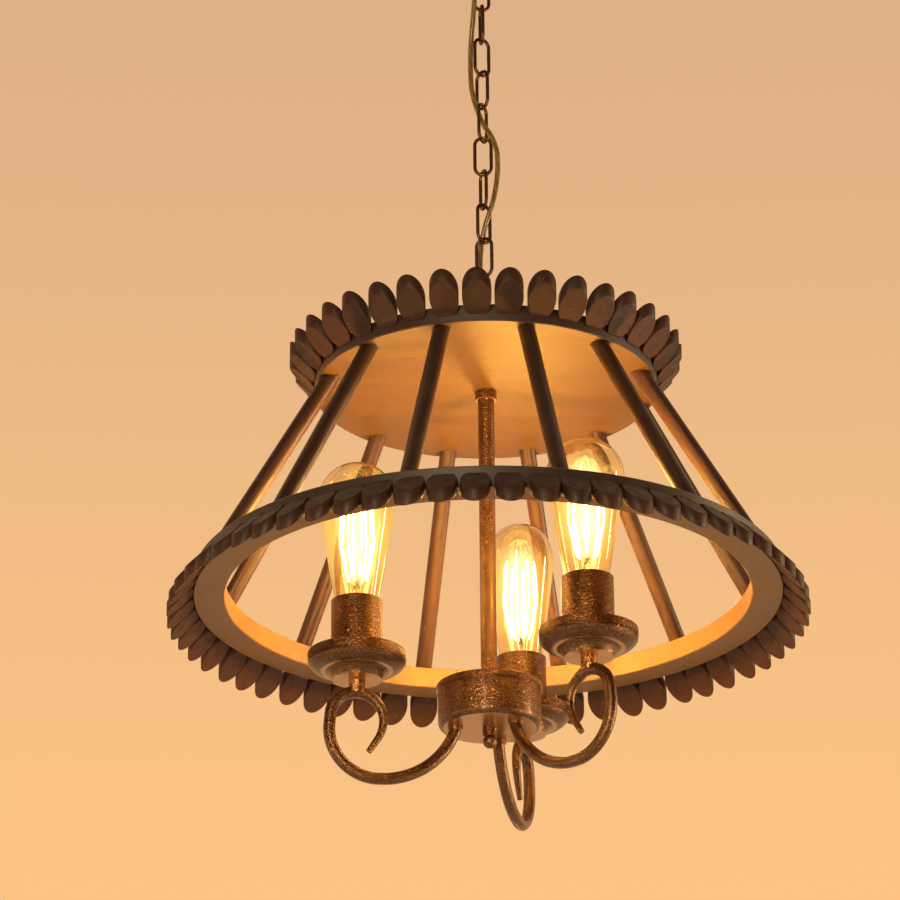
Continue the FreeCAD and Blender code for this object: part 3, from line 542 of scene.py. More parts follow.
def hammered_bronze(scene):
    """The fitting: dark brown metallic paint, hammered, with copper flecks that are partly painted glints, a
    painted highlight on raised cells, a painted reflection on flat undersides, and rubbed edges.
    """
    metal = scene.chandelier_metal
    bronze, copper = shades(metal.bronze), shades(metal.copper)
    material, tree, surface, _ = new_material("Hammered bronze",
            {"Coat Roughness": 0.16, "Coat IOR": 1.5})
    place = object_place(tree)
    cells = placed_group(tree, "Hammered cells", {"Place": place, "Cell": metal.cell})
    worn = placed_group(tree, "Worn edges", {"Place": place, "Start": 0.53, "End": 0.64})
    dust = placed_group(tree, "Settled dust",
            {"Place": place, "Film": 0.12, "Speck spacing": 0.011})
    # Faces that look straight down turn pale copper: a painted reflection of the bright floor and backdrop.
    # Their hammer relief is flattened too.
    facing_down = coordinate(tree, world_normal(tree), 2)
    underside_painted_reflection = spread(tree, facing_down, -0.975, -0.998)
    colour = mixed(tree, spread(tree, cells["Tone"], 0.3, 0.7), bronze(0.8), bronze(1.15))
    # Raised cells lean to copper: partly a rubbed antique finish, partly a painted highlight on the hammer
    # marks.
    colour = mixed(tree, spread(tree, cells["Height"], -0.30, -0.02, 0.0, 0.25), colour,
            copper(0.5))
    # Copper on the flecks: partly real flake, partly painted glints.
    colour = glazed(tree, colour, cells["Flecks"], 0.5, copper(1.0))
    colour = glazed(tree, colour, worn["Mask"], 0.6, copper(0.9))
    colour = glazed(tree, colour, underside_painted_reflection, 0.8, copper(0.8))
    colour = mixed(tree, dust["Film"], colour, (0.3, 0.24, 0.19, 1))
    feed(surface, "Base Color", colour)
    feed(surface, "Roughness", spread(tree, cells["Flecks"], 0.0, 1.0, 0.27, 0.18))
    feed(surface, "Metallic",
            spread(tree, maths(tree, "ADD", cells["Flecks"], worn["Mask"]), 0.0, 1.0, 0.86, 1.0))
    feed(surface, "Coat Weight", spread(tree, cells["Tone"], 0.3, 0.7, 0.1, 0.3))
    relief = times(tree, cells["Height"], spread(tree, underside_painted_reflection, 0.0, 1.0, 1.0, 0.15))
    bumped(tree, surface, relief, 0.00042)
    return material


def bronze_chain(scene):
    """Chain, loops and canopy: smooth brown plating, rubbed bright on convex edges."""
    metal = scene.chandelier_metal
    chain, copper = shades(metal.chain), shades(metal.copper)
    material, tree, surface, _ = new_material("Bronze chain", {"Coat Roughness": 0.3})
    place = object_place(tree)
    worn = placed_group(tree, "Worn edges", {"Place": place, "Start": 0.54, "End": 0.66})
    dust = placed_group(tree, "Settled dust",
            {"Place": place, "Film": 0.25, "Speck spacing": 0.01})
    patch = cloud(tree, place, 160.0, 4.0, 0.6)
    pits = cloud(tree, place, 900.0, 2.0)
    colour = mixed(tree, spread(tree, patch, 0.35, 0.68), chain(0.6), chain(1.35))
    colour = mixed(tree, spread(tree, patch, 0.6, 0.74, 0.0, 0.5), colour, copper(0.55))
    colour = glazed(tree, colour, worn["Mask"], 0.5, copper(0.8))
    colour = mixed(tree, dust["Film"], colour, (0.32, 0.26, 0.2, 1))
    feed(surface, "Base Color", colour)
    feed(surface, "Roughness", spread(tree, patch, 0.3, 0.7, 0.5, 0.3))
    feed(surface, "Metallic", spread(tree, patch, 0.3, 0.7, 0.6, 0.9))
    feed(surface, "Coat Weight", spread(tree, pits, 0.3, 0.7, 0.05, 0.2))
    bumped(tree, surface, pits, 0.00008, 0.5)
    return material


def plain_metal(name, colour, rough, brushed):
    """Plated pieces: bare colour with fine machining marks and dull patches."""
    material, tree, surface, _ = new_material(name, {"Metallic": 1.0})
    place = object_place(tree)
    marks = cloud(tree, stretched(tree, place, (1, 1, brushed)), 900.0, 3.0)
    patch = cloud(tree, place, 80.0, 4.0)
    worn = placed_group(tree, "Worn edges", {"Place": place})
    tint = mixed(tree, spread(tree, patch, 0.35, 0.7), shaded(colour, 0.78), shaded(colour, 1.1))
    tint = glazed(tree, tint, worn["Mask"], 0.4, shaded(colour, 1.5))
    feed(surface, "Base Color", tint)
    feed(surface, "Roughness", spread(tree, marks, 0.3, 0.7, rough, rough + 0.16))
    bumped(tree, surface, marks, 0.00004, 0.5)
    return material


def plastic(name, colour, rough, grit):
    """Moulded pieces: a fine matt skin with faint scuffs."""
    material, tree, surface, _ = new_material(name, {"Specular IOR Level": 0.45})
    place = object_place(tree)
    skin = cloud(tree, place, grit, 2.0)
    scuff = spread(tree, cloud(tree, stretched(tree, place, (1, 1, 0.3)), 220.0, 5.0, 0.7), 0.58,
            0.7)
    worn = placed_group(tree, "Worn edges", {"Place": place})
    tint = mixed(tree, scuff, linear(colour), shaded(colour, 1.35))
    tint = glazed(tree, tint, worn["Mask"], 0.3, shaded(colour, 1.7))
    feed(surface, "Base Color", tint)
    feed(surface, "Roughness", spread(tree, skin, 0.3, 0.7, rough, rough + 0.2))
    bumped(tree, surface, skin, 0.00005, 0.6)
    return material


# Colour, smoothest roughness, and how far brushing draws the marks out or how fine the skin is.
PLAIN_METALS = {
    "plated_steel": ((0.76, 0.72, 0.66), 0.28, 1.0),
    "cap_metal": ((0.80, 0.77, 0.70), 0.2, 0.2),
}
PLASTICS = {
    "holder_plastic": ((0.10, 0.09, 0.085), 0.4, 2600.0),
    "tip_black": ((0.07, 0.065, 0.07), 0.3, 1800.0),
    "lead_sleeve": ((0.52, 0.40, 0.18), 0.35, 2000.0),
    "connector_plastic": ((0.80, 0.58, 0.20), 0.35, 2200.0),
}


def gold_cord(scene):
    """Power cord: a glossy gold sleeve with the faint twist of the wires under it."""
    gold = shades(scene.chandelier_cord.gold)
    material, tree, surface, _ = new_material("Gold cord",
            {"Coat Roughness": 0.12, "Specular IOR Level": 0.5})
    place = own_place(tree)
    parts = put(tree, "ShaderNodeSeparateXYZ", {0: place})
    round_ = maths(tree, "ARCTAN2", parts.outputs[1], parts.outputs[0])
    turn = maths(tree, "ADD", times(tree, round_, 3.0), times(tree, parts.outputs[2], 420.0))
    twist = put(tree, "ShaderNodeMath", {0: maths(tree, "SINE", turn), 1: 0.5, 2: 0.5},
            operation="MULTIPLY_ADD").outputs[0]
    patch = cloud(tree, place, 120.0, 3.0)
    colour = mixed(tree, twist, gold(0.7), gold(1.2))
    colour = mixed(tree, spread(tree, patch, 0.5, 0.75, 0.0, 0.4), colour, gold(0.55))
    feed(surface, "Base Color", colour)
    feed(surface, "Roughness", spread(tree, patch, 0.3, 0.7, 0.25, 0.42))
    feed(surface, "Coat Weight", spread(tree, patch, 0.3, 0.7, 0.5, 0.25))
    bumped(tree, surface, twist, 0.00010, 0.6)
    return material


def let_lamplight_through(tree, surface, sink):
    """Rays towards a lamp pass, so that the light inside a bulb reaches the room."""
    path = put(tree, "ShaderNodeLightPath").outputs["Is Shadow Ray"]
    clear = put(tree, "ShaderNodeBsdfTransparent")
    both = put(tree, "ShaderNodeMixShader", {0: path, 1: surface.outputs[0], 2: clear.outputs[0]})
    feed(sink, "Surface", both.outputs[0])


def amber_glass(scene):
    """Bulb glass: clear amber with a painted glow, emission laid on the glass where the lit filaments stand
    behind it.
    """
    bulb = scene.chandelier_bulb
    material, tree, surface, sink = new_material(
        "Amber glass",
            {"Transmission Weight": 1.0, "IOR": 1.46, "Emission Strength": bulb.painted_haze_strength})
    place = object_place(tree)
    height = coordinate(tree, place, 2)
    rim = high("cup_1")
    # The painted glow: emission on the glass between these heights, strongest where the glass faces the
    # viewer, standing in for the glare round the lit filaments.
    lower = spread(tree, height, rim + 0.008, rim + 0.046)
    upper = spread(tree, height, rim + 0.100, rim + 0.064)
    facing = put(tree, "ShaderNodeLayerWeight", {"Blend": 0.5}).outputs["Facing"]
    toward = maths(tree, "SUBTRACT", 1.0, facing)
    seeds = spread(tree, cloud(tree, place, 170.0, 2.0), 0.35, 0.7)
    along = times(tree, lower, upper)
    wide = times(tree, along, maths(tree, "POWER", toward, 2.0))
    core = times(tree, along, spread(tree, toward, 0.86, 0.98))
    painted_haze = mixed(tree, wide, (0.0, 0.0, 0.0, 1.0), shaded(bulb.painted_haze, 0.26))
    painted_haze = mixed(tree, core, painted_haze, shaded(bulb.glow, 0.62))
    feed(surface, "Emission Color", painted_haze)
    feed(surface, "Base Color", mixed(tree, seeds, shaded(bulb.glass, 0.97), linear(bulb.glass)))
    feed(surface, "Roughness", spread(tree, seeds, 0.0, 1.0, 0.0, 0.03))
    let_lamplight_through(tree, surface, sink)
    return material


def filament_glow(scene):
    """Lit sticks, white-hot with slightly dimmer beads."""
    bulb = scene.chandelier_bulb
    material, tree, surface, sink = new_material(
        "Filament glow", {"Emission Strength": bulb.filament, "Roughness": 0.6})
    beads = spread(tree, cloud(tree, object_place(tree), 900.0, 1.0), 0.35, 0.65, 0.75, 1.0)
    colour = mixed(tree, beads, shaded(bulb.glow, 0.8), linear(bulb.glow))
    feed(surface, "Emission Color", colour)
    feed(surface, "Base Color", colour)
    let_lamplight_through(tree, surface, sink)
    return material


def stem_glass(scene):
    """The pinched glass stem that carries the filaments."""
    material, tree, surface, sink = new_material(
        "Stem glass", {"Transmission Weight": 1.0, "IOR": 1.46, "Base Color": (1.0, 0.93, 0.8, 1)})
    ripple = cloud(tree, stretched(tree, object_place(tree), (1, 1, 0.25)), 420.0, 2.0)
    feed(surface, "Roughness", spread(tree, ripple, 0.3, 0.7, 0.0, 0.08))
    bumped(tree, surface, ripple, 0.0002, 0.5)
    let_lamplight_through(tree, surface, sink)
    return material


FINISHES = {made.__name__: made for made in (
    stained_board, stained_dowel, stained_petal, hammered_bronze, bronze_chain, gold_cord,
    amber_glass, filament_glow, stem_glass)}


def finish(scene, slot):
    """The material of a slot, built the first time that a piece asks for it."""
    made = scene.get("chandelier_finishes") or {}
    if slot in made:
        return bpy.data.materials[made[slot]]
    label = slot.replace("_", " ").capitalize()
    if slot in PLAIN_METALS:
        material = plain_metal(label, *PLAIN_METALS[slot])
    elif slot in PLASTICS:
        material = plastic(label, *PLASTICS[slot])
    else:
        material = FINISHES[slot](scene)
    scene["chandelier_finishes"] = {**dict(made), slot: material.name}
    return material


# ---- mesh helpers ----


class Work:
    """A mesh being built, with the place of each point in its own piece and a tone for that piece."""

    def __init__(self):
        self.bm = bmesh.new()
        self.place = self.bm.verts.layers.float_vector.new("grain_place")
        self.tone = self.bm.verts.layers.float.new("piece_tone")

    def point(self, where, place=None, tone=0.0):
        vert = self.bm.verts.new(where)
        vert[self.place] = where if place is None else place
        vert[self.tone] = tone
        return vert

    def face(self, verts, smooth=True, slot=0):
        made = self.bm.faces.new(verts)
        made.smooth = smooth
        made.material_index = slot
        return made

    def bridge(self, rings, closed_path=False, slot=0):
        """Faces between neighbouring rings of points."""
        count = len(rings[0])
        pairs = list(zip(rings, rings[1:]))
        if closed_path:
            pairs.append((rings[-1], rings[0]))
        for a, b in pairs:
            for k in range(count):
                n = (k + 1) % count
                self.face((a[k], a[n], b[n], b[k]), slot=slot)

    def lid(self, ring, slot=0):
        self.face(ring, False, slot)

    def piece(self, scene, name, slots):
        """The finished object, with a material for each slot name."""
        bmesh.ops.recalc_face_normals(self.bm, faces=self.bm.faces)
        mesh = bpy.data.meshes.new(name)
        self.bm.to_mesh(mesh)
        self.bm.free()
        made = bpy.data.objects.new(name, mesh)
        scene.collection.objects.link(made)
        for slot in slots:
            mesh.materials.append(finish(scene, slot))
        return made


def bar(work, points, radii, sides, start=None, tone=0.0, offset=(0, 0, 0), slot=0, closed=False):
    """A round bar along a path, with a radius at each point. Returns its rings."""
    count = len(points)
    rings = []
    aside = start
    run = 0.0
    for k, point in enumerate(points):
        if closed:
            ahead = points[(k + 1) % count] - points[k - 1]
        else:
            ahead = points[min(k + 1, count - 1)] - points[max(k - 1, 0)]
        ahead.normalize()
        if aside is None:
            aside = ahead.orthogonal()
        aside = (aside - ahead * aside.dot(ahead)).normalized()
        other = ahead.cross(aside)
        run += (points[k] - points[k - 1]).length if k else 0.0
        ring = []
        for j in range(sides):
            turn = 2 * math.pi * j / sides
            out = aside * math.cos(turn) + other * math.sin(turn)
            place = Vector(offset) + Vector((math.cos(turn) * radii[k], math.sin(turn) * radii[k],
                    run))
            ring.append(work.point(point + out * radii[k], place, tone))
        rings.append(ring)
    work.bridge(rings, closed_path=closed, slot=slot)
    if not closed:
        work.lid(rings[0][::-1], slot)
        work.lid(rings[-1], slot)
    return rings


def turned(work, outline, steps, matrix, slot=0):
    """A shape turned about Z from (radius, height) points. A radius of 0 closes it."""
    rings = []
    for radius, height in outline:
        if radius < 1e-7:
            tip = Vector((0, 0, height))
            rings.append([work.point(matrix @ tip, tip)])
            continue
        ring = []
        for k in range(steps):
            turn = 2 * math.pi * k / steps
            spot = Vector((radius * math.cos(turn), radius * math.sin(turn), height))
            ring.append(work.point(matrix @ spot, spot))
        rings.append(ring)
    for a, b in zip(rings, rings[1:]):
        for k in range(steps):
            n = (k + 1) % steps
            if len(a) == 1:
                work.face((a[0], b[n], b[k]), slot=slot)
            elif len(b) == 1:
                work.face((a[k], a[n], b[0]), slot=slot)
            else:
                work.face((a[k], a[n], b[n], b[k]), slot=slot)


EDGE_SEGMENTS = 2
EDGE_ANGLE = 38.0
JOIN_DISTANCE = 0.01 * MM
SHADING_WEIGHT = 80


def eased_edges(node, width):
    """Rounds a CAD node's hard edges in its modifiers, and leaves its mesh alone."""
    weld = node.modifiers.new("Joined faces", "WELD")
    weld.merge_threshold = JOIN_DISTANCE
    bevel = node.modifiers.new("Eased edges", "BEVEL")
    bevel.width = width
    bevel.segments = EDGE_SEGMENTS
    bevel.limit_method = "ANGLE"
    bevel.angle_limit = math.radians(EDGE_ANGLE)
    bevel.use_clamp_overlap = True
    even = node.modifiers.new("Even shading", "WEIGHTED_NORMAL")
    even.keep_sharp = False
    even.weight = SHADING_WEIGHT


def dress(scene, names, slot, edge=0.0):
    """Gives CAD nodes their finish, and rounds their edges where edge isn't 0."""
    for name in names:
        node = NODES[name]
        for held in node.material_slots:
            held.material = finish(scene, slot)
        if edge:
            eased_edges(node, edge)


def numbered(stem):
    return ["{}_{}".format(stem, k) for k in LAMPS]


# ---- operators: one for each piece or group of like pieces ----


class Dressing:
    """What the operators share that only dress CAD nodes.

    A row holds the nodes, their slot, and their edges' rounding as a share of the metal edge.
    """

    rows = ()

    def execute(self, context):
        scene = context.scene
        for names, slot, share in self.rows:
            dress(scene, names, slot, share * scene.chandelier_metal.edge)
        return {"FINISHED"}


class Boards(Dressing, bpy.types.Operator):
    """Finish the round board and the ring"""

    bl_idname = "chandelier.boards"
    bl_label = "Boards"

    rows = ((("top_disc", "lower_ring"), "stained_board", 0),)


PETAL_STEPS = 30


def petal_outline(radius, flat, inset, steps):
    """Points round a dowel's section with its back planed off, drawn in by inset."""
    reach = math.acos((flat - radius + inset) / (radius - inset))
    turns = [reach * (2 * k / steps - 1) for k in range(steps + 1)]
    return [((radius - inset) * math.cos(a), (radius - inset) * math.sin(a)) for a in turns]


def add_petal(work, wheel, seat, level, slope, turn, chance):
    """One slice, glued by its flat back on an edge of radius seat."""
    radius = wheel.petal_radius * (1 - 0.015 * chance.random())
    flat = wheel.petal_flat * (1 - 0.1 * chance.random())
    edge = wheel.petal_edge * (0.7 + 0.6 * chance.random())
    slant = slope * (1 - 0.03 * chance.random())
    turn += math.radians(chance.uniform(-0.5, 0.5))
    tone = chance.random()
    offset = Vector((chance.uniform(-2, 2) * MM, chance.uniform(-2, 2) * MM,
            chance.uniform(0, 300) * MM))
    back = radius - flat
    matrix = Matrix.Rotation(turn, 4, "Z") @ Matrix.Translation((seat + back, 0, 0))
    near = 1 - math.sqrt(0.5)
    cuts = [(edge, 0.0), (edge * near, edge * near), (0.0, edge)]
    levels = [(inset, 0.0, up) for inset, up in cuts]
    levels += [(inset, wheel.petal_height, -up) for inset, up in reversed(cuts)]
    rings = []
    for inset, height, up in levels:
        ring = []
        for x, y in petal_outline(radius, flat, inset, PETAL_STEPS):
            spot = Vector((x, y, level + slant * (x + back) + height + up))
            ring.append(work.point(matrix @ spot, spot - Vector((0, 0, level)) + offset, tone))
        rings.append(ring)
    work.bridge(rings)
    work.lid(rings[0][::-1])
    work.lid(rings[-1])


class Petals(bpy.types.Operator):
    """Slice and glue the petals round the board and the ring"""

    bl_idname = "chandelier.petals"
    bl_label = "Petals"

    def execute(self, context):
        scene = context.scene
        wheel = scene.chandelier_wheel
        rows = (
            ("upper_petals", "top_disc", wheel.upper_petals, wheel.upper_first, 1.0),
            ("lower_petals", "lower_ring", wheel.lower_petals, wheel.lower_first, -1.0),
        )
        for name, board, count, first, slope in rows:
            chance = random.Random(count)
            work = Work()
            depth = 2 * wheel.petal_radius - wheel.petal_flat
            level = low(name) if slope > 0 else low(name) + depth
            for k in range(count):
                add_petal(work, wheel, outer(board), level, slope, first + 2 * math.pi * k / count,
                        chance)
            made = work.piece(scene, name + "_sliced", ["stained_petal"])
            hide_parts(name)
            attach(made, "fitting")
        return {"FINISHED"}


# How deep a spoke stands in its holes, measured upright.
SPOKE_SUNK_TOP = 8 * MM
SPOKE_SUNK_FOOT = 6 * MM
SPOKE_STEPS = 40
SPOKE_SIDES = 32
SPOKE_SEED = 12


class Spokes(bpy.types.Operator):
    """Turn the dowel spokes between the board and the ring"""

    bl_idname = "chandelier.spokes"
    bl_label = "Spokes"

    def execute(self, context):
        scene = context.scene
        wheel = scene.chandelier_wheel
        chance = random.Random(SPOKE_SEED)
        work = Work()
        top = Vector((wheel.spoke_top, 0, low("top_disc")))
        foot = Vector((wheel.spoke_foot, 0, high("lower_ring")))
        along = (foot - top).normalized()
        start = Vector((top.x - SPOKE_SUNK_TOP * along.x / -along.z, 0, top.z + SPOKE_SUNK_TOP))
        end = Vector((foot.x + SPOKE_SUNK_FOOT * along.x / -along.z, 0, foot.z - SPOKE_SUNK_FOOT))
        steps = SPOKE_STEPS
        for k in range(wheel.spokes):
            turn = Matrix.Rotation(wheel.spoke_first + 2 * math.pi * k / wheel.spokes, 4, "Z")
            points = [turn @ start.lerp(end, j / steps) for j in range(steps + 1)]
            radii = [wheel.spoke_radius
                    * (1 - 0.012 * (0.5 + 0.5 * noise.noise(p * 30))) for p in points]
            offset = (0, 0, chance.uniform(0, 4))
            bar(work, points, radii, SPOKE_SIDES, tone=chance.random(), offset=offset)
        made = work.piece(scene, "spokes_turned", ["stained_dowel"])
        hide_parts("spokes")
        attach(made, "fitting")
        return {"FINISHED"}


class CeilingCanopy(Dressing, bpy.types.Operator):
    """Finish the canopy, its loop and what holds them to the ceiling"""

    bl_idname = "chandelier.canopy"
    bl_label = "Ceiling canopy"

    rows = (
        (("canopy", "canopy_loop"), "bronze_chain", 0),
        (("crossbar", "canopy_pipe", "canopy_lock_nut"), "plated_steel", 0),
    )


# How far each link is turned about the chain, from the top. At 0 a link faces the viewer.
LINK_TURNS = (20.0, 100.0, 32.0, -50.0, 62.0, -3.0, -70.0, 42.0, -24.0, 66.0)


JOINT_WIDTH = 1.4 * MM
JOINT_SWELL = 0.09
LINK_SIDES = 20


def link_path(name, radius, wire, degrees):
    """The middle line of an oval link, from its own box, and how far each point lies from the butt joint."""
    top = high(name) - wire - radius
    foot = low(name) + wire + radius
    flat = []
    straight = 10
    bend = 20
    for k in range(straight):
        flat.append((radius, foot + (top - foot) * k / straight))
    for k in range(bend):
        turn = math.pi * k / bend
        flat.append((radius * math.cos(turn), top + radius * math.sin(turn)))
    for k in range(straight):
        flat.append((-radius, top + (foot - top) * k / straight))
    for k in range(bend):
        turn = math.pi * k / bend
        flat.append((-radius * math.cos(turn), foot - radius * math.sin(turn)))
    joint = Vector((radius, 0, (top + foot) / 2))
    turn = Matrix.Rotation(math.radians(degrees), 4, "Z")
    spots = [Vector((x, 0, z)) for x, z in flat]
    return [turn
            @ spot for spot in spots], [(spot - joint).length for spot in spots], turn @ Vector((0,
            1, 0))


class Chain(bpy.types.Operator):
    """Bend the chain's links, each with the joint of its wire"""

    bl_idname = "chandelier.chain"
    bl_label = "Chain"

    def execute(self, context):
        scene = context.scene
        metal = scene.chandelier_metal
        radius = metal.link_width / 2 - metal.wire
        for k, degrees in enumerate(LINK_TURNS):
            name = "chain_link_{:02d}".format(k + 1)
            points, gaps, side = link_path(name, radius, metal.wire, degrees)
            radii = [metal.wire
                    * (1 + JOINT_SWELL * math.exp(-(gap / JOINT_WIDTH) ** 2)) for gap in gaps]
            work = Work()
            bar(work, points, radii, LINK_SIDES, start=side, offset=(0, 0, k * 0.1), closed=True)
            made = work.piece(scene, "link_bent_{:02d}".format(k + 1), ["bronze_chain"])
            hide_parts(name)
            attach(made, "link_{:02d}".format(k + 1))
        return {"FINISHED"}


# The cord's route in millimetres: out of the canopy's pipe, in front of the first link, left of
# the next three, through the fifth to the right, back through the eighth, then down the stem.
CORD_ROUTE = (
    (0.0, 0.0, 0.0), (0.0, 0.0, -45.0), (-5.0, -4.6, -58.0), (-6.2, -8.8, -71.0),
    (-5.6, -8.6, -88.0), (-7.4, -5.4, -109.0), (-9.5, 0.0, -130.0), (-10.0, 1.4, -151.0),
    (-9.6, 0.2, -172.0), (-6.2, -1.0, -190.0), (0.2, -0.4, -208.0), (7.4, -3.8, -221.0),
    (12.2, -5.6, -236.0), (12.6, -3.8, -254.0), (10.6, -2.2, -271.0), (7.2, -2.0, -287.0),
    (1.4, 1.0, -303.0), (-2.4, 7.4, -319.0), (-3.6, 7.8, -338.0), (-3.6, 7.4, -357.0),
    (-3.6, 6.0, -374.0), (-3.2, 3.2, -388.0), (-0.8, 0.8, -399.0), (0.0, 0.0, -412.0),
    (0.0, 0.0, -712.0))
CORD_BEND_SHARE = 0.45
CORD_STEP = 1.3 * MM
CORD_STRAIGHT = 60 * MM  # below the last break by this much, the cord needs no steps
CORD_SIDES = 18


def rounded_route(corners, bend_share):
    """Straight runs joined by tangent arcs, as close points."""
    points = [corners[0]]
    for before, corner, after in zip(corners, corners[1:], corners[2:]):
        coming = corner - before
        going = after - corner
        turn = coming.angle(going)
        reach = bend_share * min(coming.length, going.length)
        coming.normalize()
        going.normalize()
        radius = reach / math.tan(turn / 2)
        inward = (going - coming * math.cos(turn)) / math.sin(turn)
        entry = corner - coming * reach
        centre = entry + inward * radius
        for k in range(9):
            part = turn * k / 8
            points.append(centre - inward * radius * math.cos(part) + coming * radius
                    * math.sin(part))
    points.append(corners[-1])
    return points


def stepped(points, step, breaks):
    """The same path with points a step apart and one at each height in breaks, and where those are."""
    made = [points[0]]
    marks = []
    waiting = sorted(breaks, reverse=True)
    for a, b in zip(points, points[1:]):
        parts = max(1, math.ceil((b - a).length / step))
        if b.z < min(breaks) - CORD_STRAIGHT:
            parts = 1
        shares = [k / parts for k in range(1, parts + 1)]
        while waiting and b.z <= waiting[0]:
            part = (a.z - waiting[0]) / (a.z - b.z)
            shares = sorted(set(shares) | {part})
            marks.append((len(made) + shares.index(part), waiting.pop(0)))
        made.extend(a.lerp(b, part) for part in shares)
    return made, marks


class PowerCord(bpy.types.Operator):
    """Thread the power cord through the chain, cut into one length for each swing joint"""

    bl_idname = "chandelier.power_cord"
    bl_label = "Power cord"

    def execute(self, context):
        scene = context.scene
        cord = scene.chandelier_cord
        swings = [joint for joint in frame["joints"] if joint["name"].startswith("swing")]
        pivots = [Vector(joint["pos_m"]) for joint in swings]
        middles = [(a.z + b.z) / 2 for a, b in zip(pivots, pivots[1:])]
        corners = [Vector(spot) * MM for spot in CORD_ROUTE]
        path, marks = stepped(rounded_route(corners, CORD_BEND_SHARE), CORD_STEP, middles)
        cuts = [0] + [index for index, _ in marks] + [len(path) - 1]
        work = Work()
        rings = bar(work, path, [cord.radius] * len(path), CORD_SIDES)
        spots = [[(vert.co.copy(), vert[work.place].copy()) for vert in ring] for ring in rings]
        work.bm.free()
        for k, joint in enumerate(swings):
            segment = Work()
            own = [[segment.point(*pair) for pair in ring] for ring in spots[cuts[k]:cuts[k + 1]
                    + 1]]
            segment.bridge(own)
            segment.lid(own[0][::-1])
            segment.lid(own[-1])
            made = segment.piece(scene, "cord_length_{:02d}".format(k + 1), ["gold_cord"])
            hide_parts("power_cord")
            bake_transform(made)
        return {"FINISHED"}


class StemAndHub(Dressing, bpy.types.Operator):
    """Finish the loop under the chain, the stem, the hub and the finial"""

    bl_idname = "chandelier.stem_and_hub"
    bl_label = "Stem and hub"

    rows = (
        (("top_loop",), "bronze_chain", 0),
        (("stem_collar", "stem_tube", "hub_lid", "hub_body", "finial"), "hammered_bronze", 1),
        (("disc_pipe", "disc_washer", "disc_nut", "hub_pipe", "hub_nuts"), "plated_steel", 0),
    )


class Arms(Dressing, bpy.types.Operator):
    """Finish the scroll arms, their nuts and the couplings under the dishes"""

    bl_idname = "chandelier.arms"
    bl_label = "Arms"

    rows = (
        (numbered("arm") + ["couplings"], "hammered_bronze", 0),
        (("arm_nuts",), "plated_steel", 0),
    )


class DishesAndCups(Dressing, bpy.types.Operator):
    """Finish the drip dishes and the cups"""

    bl_idname = "chandelier.dishes_and_cups"
    bl_label = "Dishes and cups"

    rows = ((numbered("dish") + numbered("cup"), "hammered_bronze", 0.5),)


class Wiring(Dressing, bpy.types.Operator):
    """Finish the lampholders, the leads inside the arms and the connectors in the hub"""

    bl_idname = "chandelier.wiring"
    bl_label = "Lampholders and wiring"

    rows = (
        (numbered("lampholder"), "holder_plastic", 0),
        (("lamp_leads",), "lead_sleeve", 0),
        (("wire_connectors",), "connector_plastic", 0),
    )


# Heights in a bulb above the cup's rim, and its radii, in metres.
BULB_WIDEST = 88 * MM
FLANK_R = 44 * MM
NECK_R = 18 * MM
GLASS_SINK = 6 * MM
FILAMENTS = 8
CAP_PITCH = 3.62 * MM
LAMP_RISE = 52 * MM
LAMP_RADIUS = 11 * MM
FILAMENT_R = 0.9 * MM
FILAMENT_CIRCLES = (8 * MM, 14.5 * MM, 12.5 * MM)
FILAMENT_LEVELS = (18.5 * MM, 50.5 * MM, 86 * MM)
STEM_OUTLINE = ((0.0, 0.0), (11.5, 0.0), (11.2, 1.6), (8.0, 3.5), (5.2, 7.0), (4.1, 12.0),
        (3.4, 22.0), (3.1, 34.0))


def arc_points(centre_r, centre_z, radius, start, end, count):
    turns = [start + (end - start) * k / count for k in range(count + 1)]
    return [(centre_r + radius * math.cos(a), centre_z + radius * math.sin(a)) for a in turns]


def bulb_outline(widest, height, cap_r, inset):
    """Half outline above the rim's level: base, neck, cone, flank and dome."""
    flank_r = FLANK_R - inset
    flank_x = widest - FLANK_R
    apex = height - BULB_WIDEST
    dome_r = (FLANK_R ** 2 - flank_x ** 2 - apex ** 2) / (2 * (FLANK_R - apex))
    dome_z = height - dome_r
    base = Vector((cap_r - inset, -GLASS_SINK))
    neck = Vector((NECK_R - inset, 0.0))
    shoulder = Vector((cap_r - inset + 0.75 * (NECK_R - cap_r), -0.55 * GLASS_SINK))
    pull = shoulder * 2 - (base + neck) * 0.5
    points = []
    for k in range(9):
        t = k / 8
        points.append(tuple(base * (1 - t) ** 2 + pull * 2 * t * (1 - t) + neck * t * t))
    to_centre = Vector((flank_x, BULB_WIDEST)) - neck
    heading = math.atan2(to_centre.y, to_centre.x) - math.asin(flank_r / to_centre.length)
    reach = math.sqrt(to_centre.length ** 2 - flank_r ** 2)
    touch = neck + Vector((math.cos(heading), math.sin(heading))) * reach
    for k in range(1, 12):
        points.append(tuple(neck.lerp(touch, k / 12)))
    start = math.atan2(touch.y - BULB_WIDEST, touch.x - flank_x)
    meet = math.atan2(dome_z - BULB_WIDEST, -flank_x)
    points += arc_points(flank_x, BULB_WIDEST, flank_r, start, meet, 26)
    points += arc_points(0.0, dome_z, dome_r - inset, meet, math.pi / 2, 14)[1:-1]
    points.append((0.0, dome_z + dome_r - inset))
    return points


def add_glass(work, matrix, widest, height, cap_r, wall):
    """A blown envelope with its two skins, joined round the open base."""
    skin = bulb_outline(widest, height, cap_r, 0.0)
    lining = bulb_outline(widest, height, cap_r, wall)
    turned(work, skin[::-1] + lining, 72, matrix)


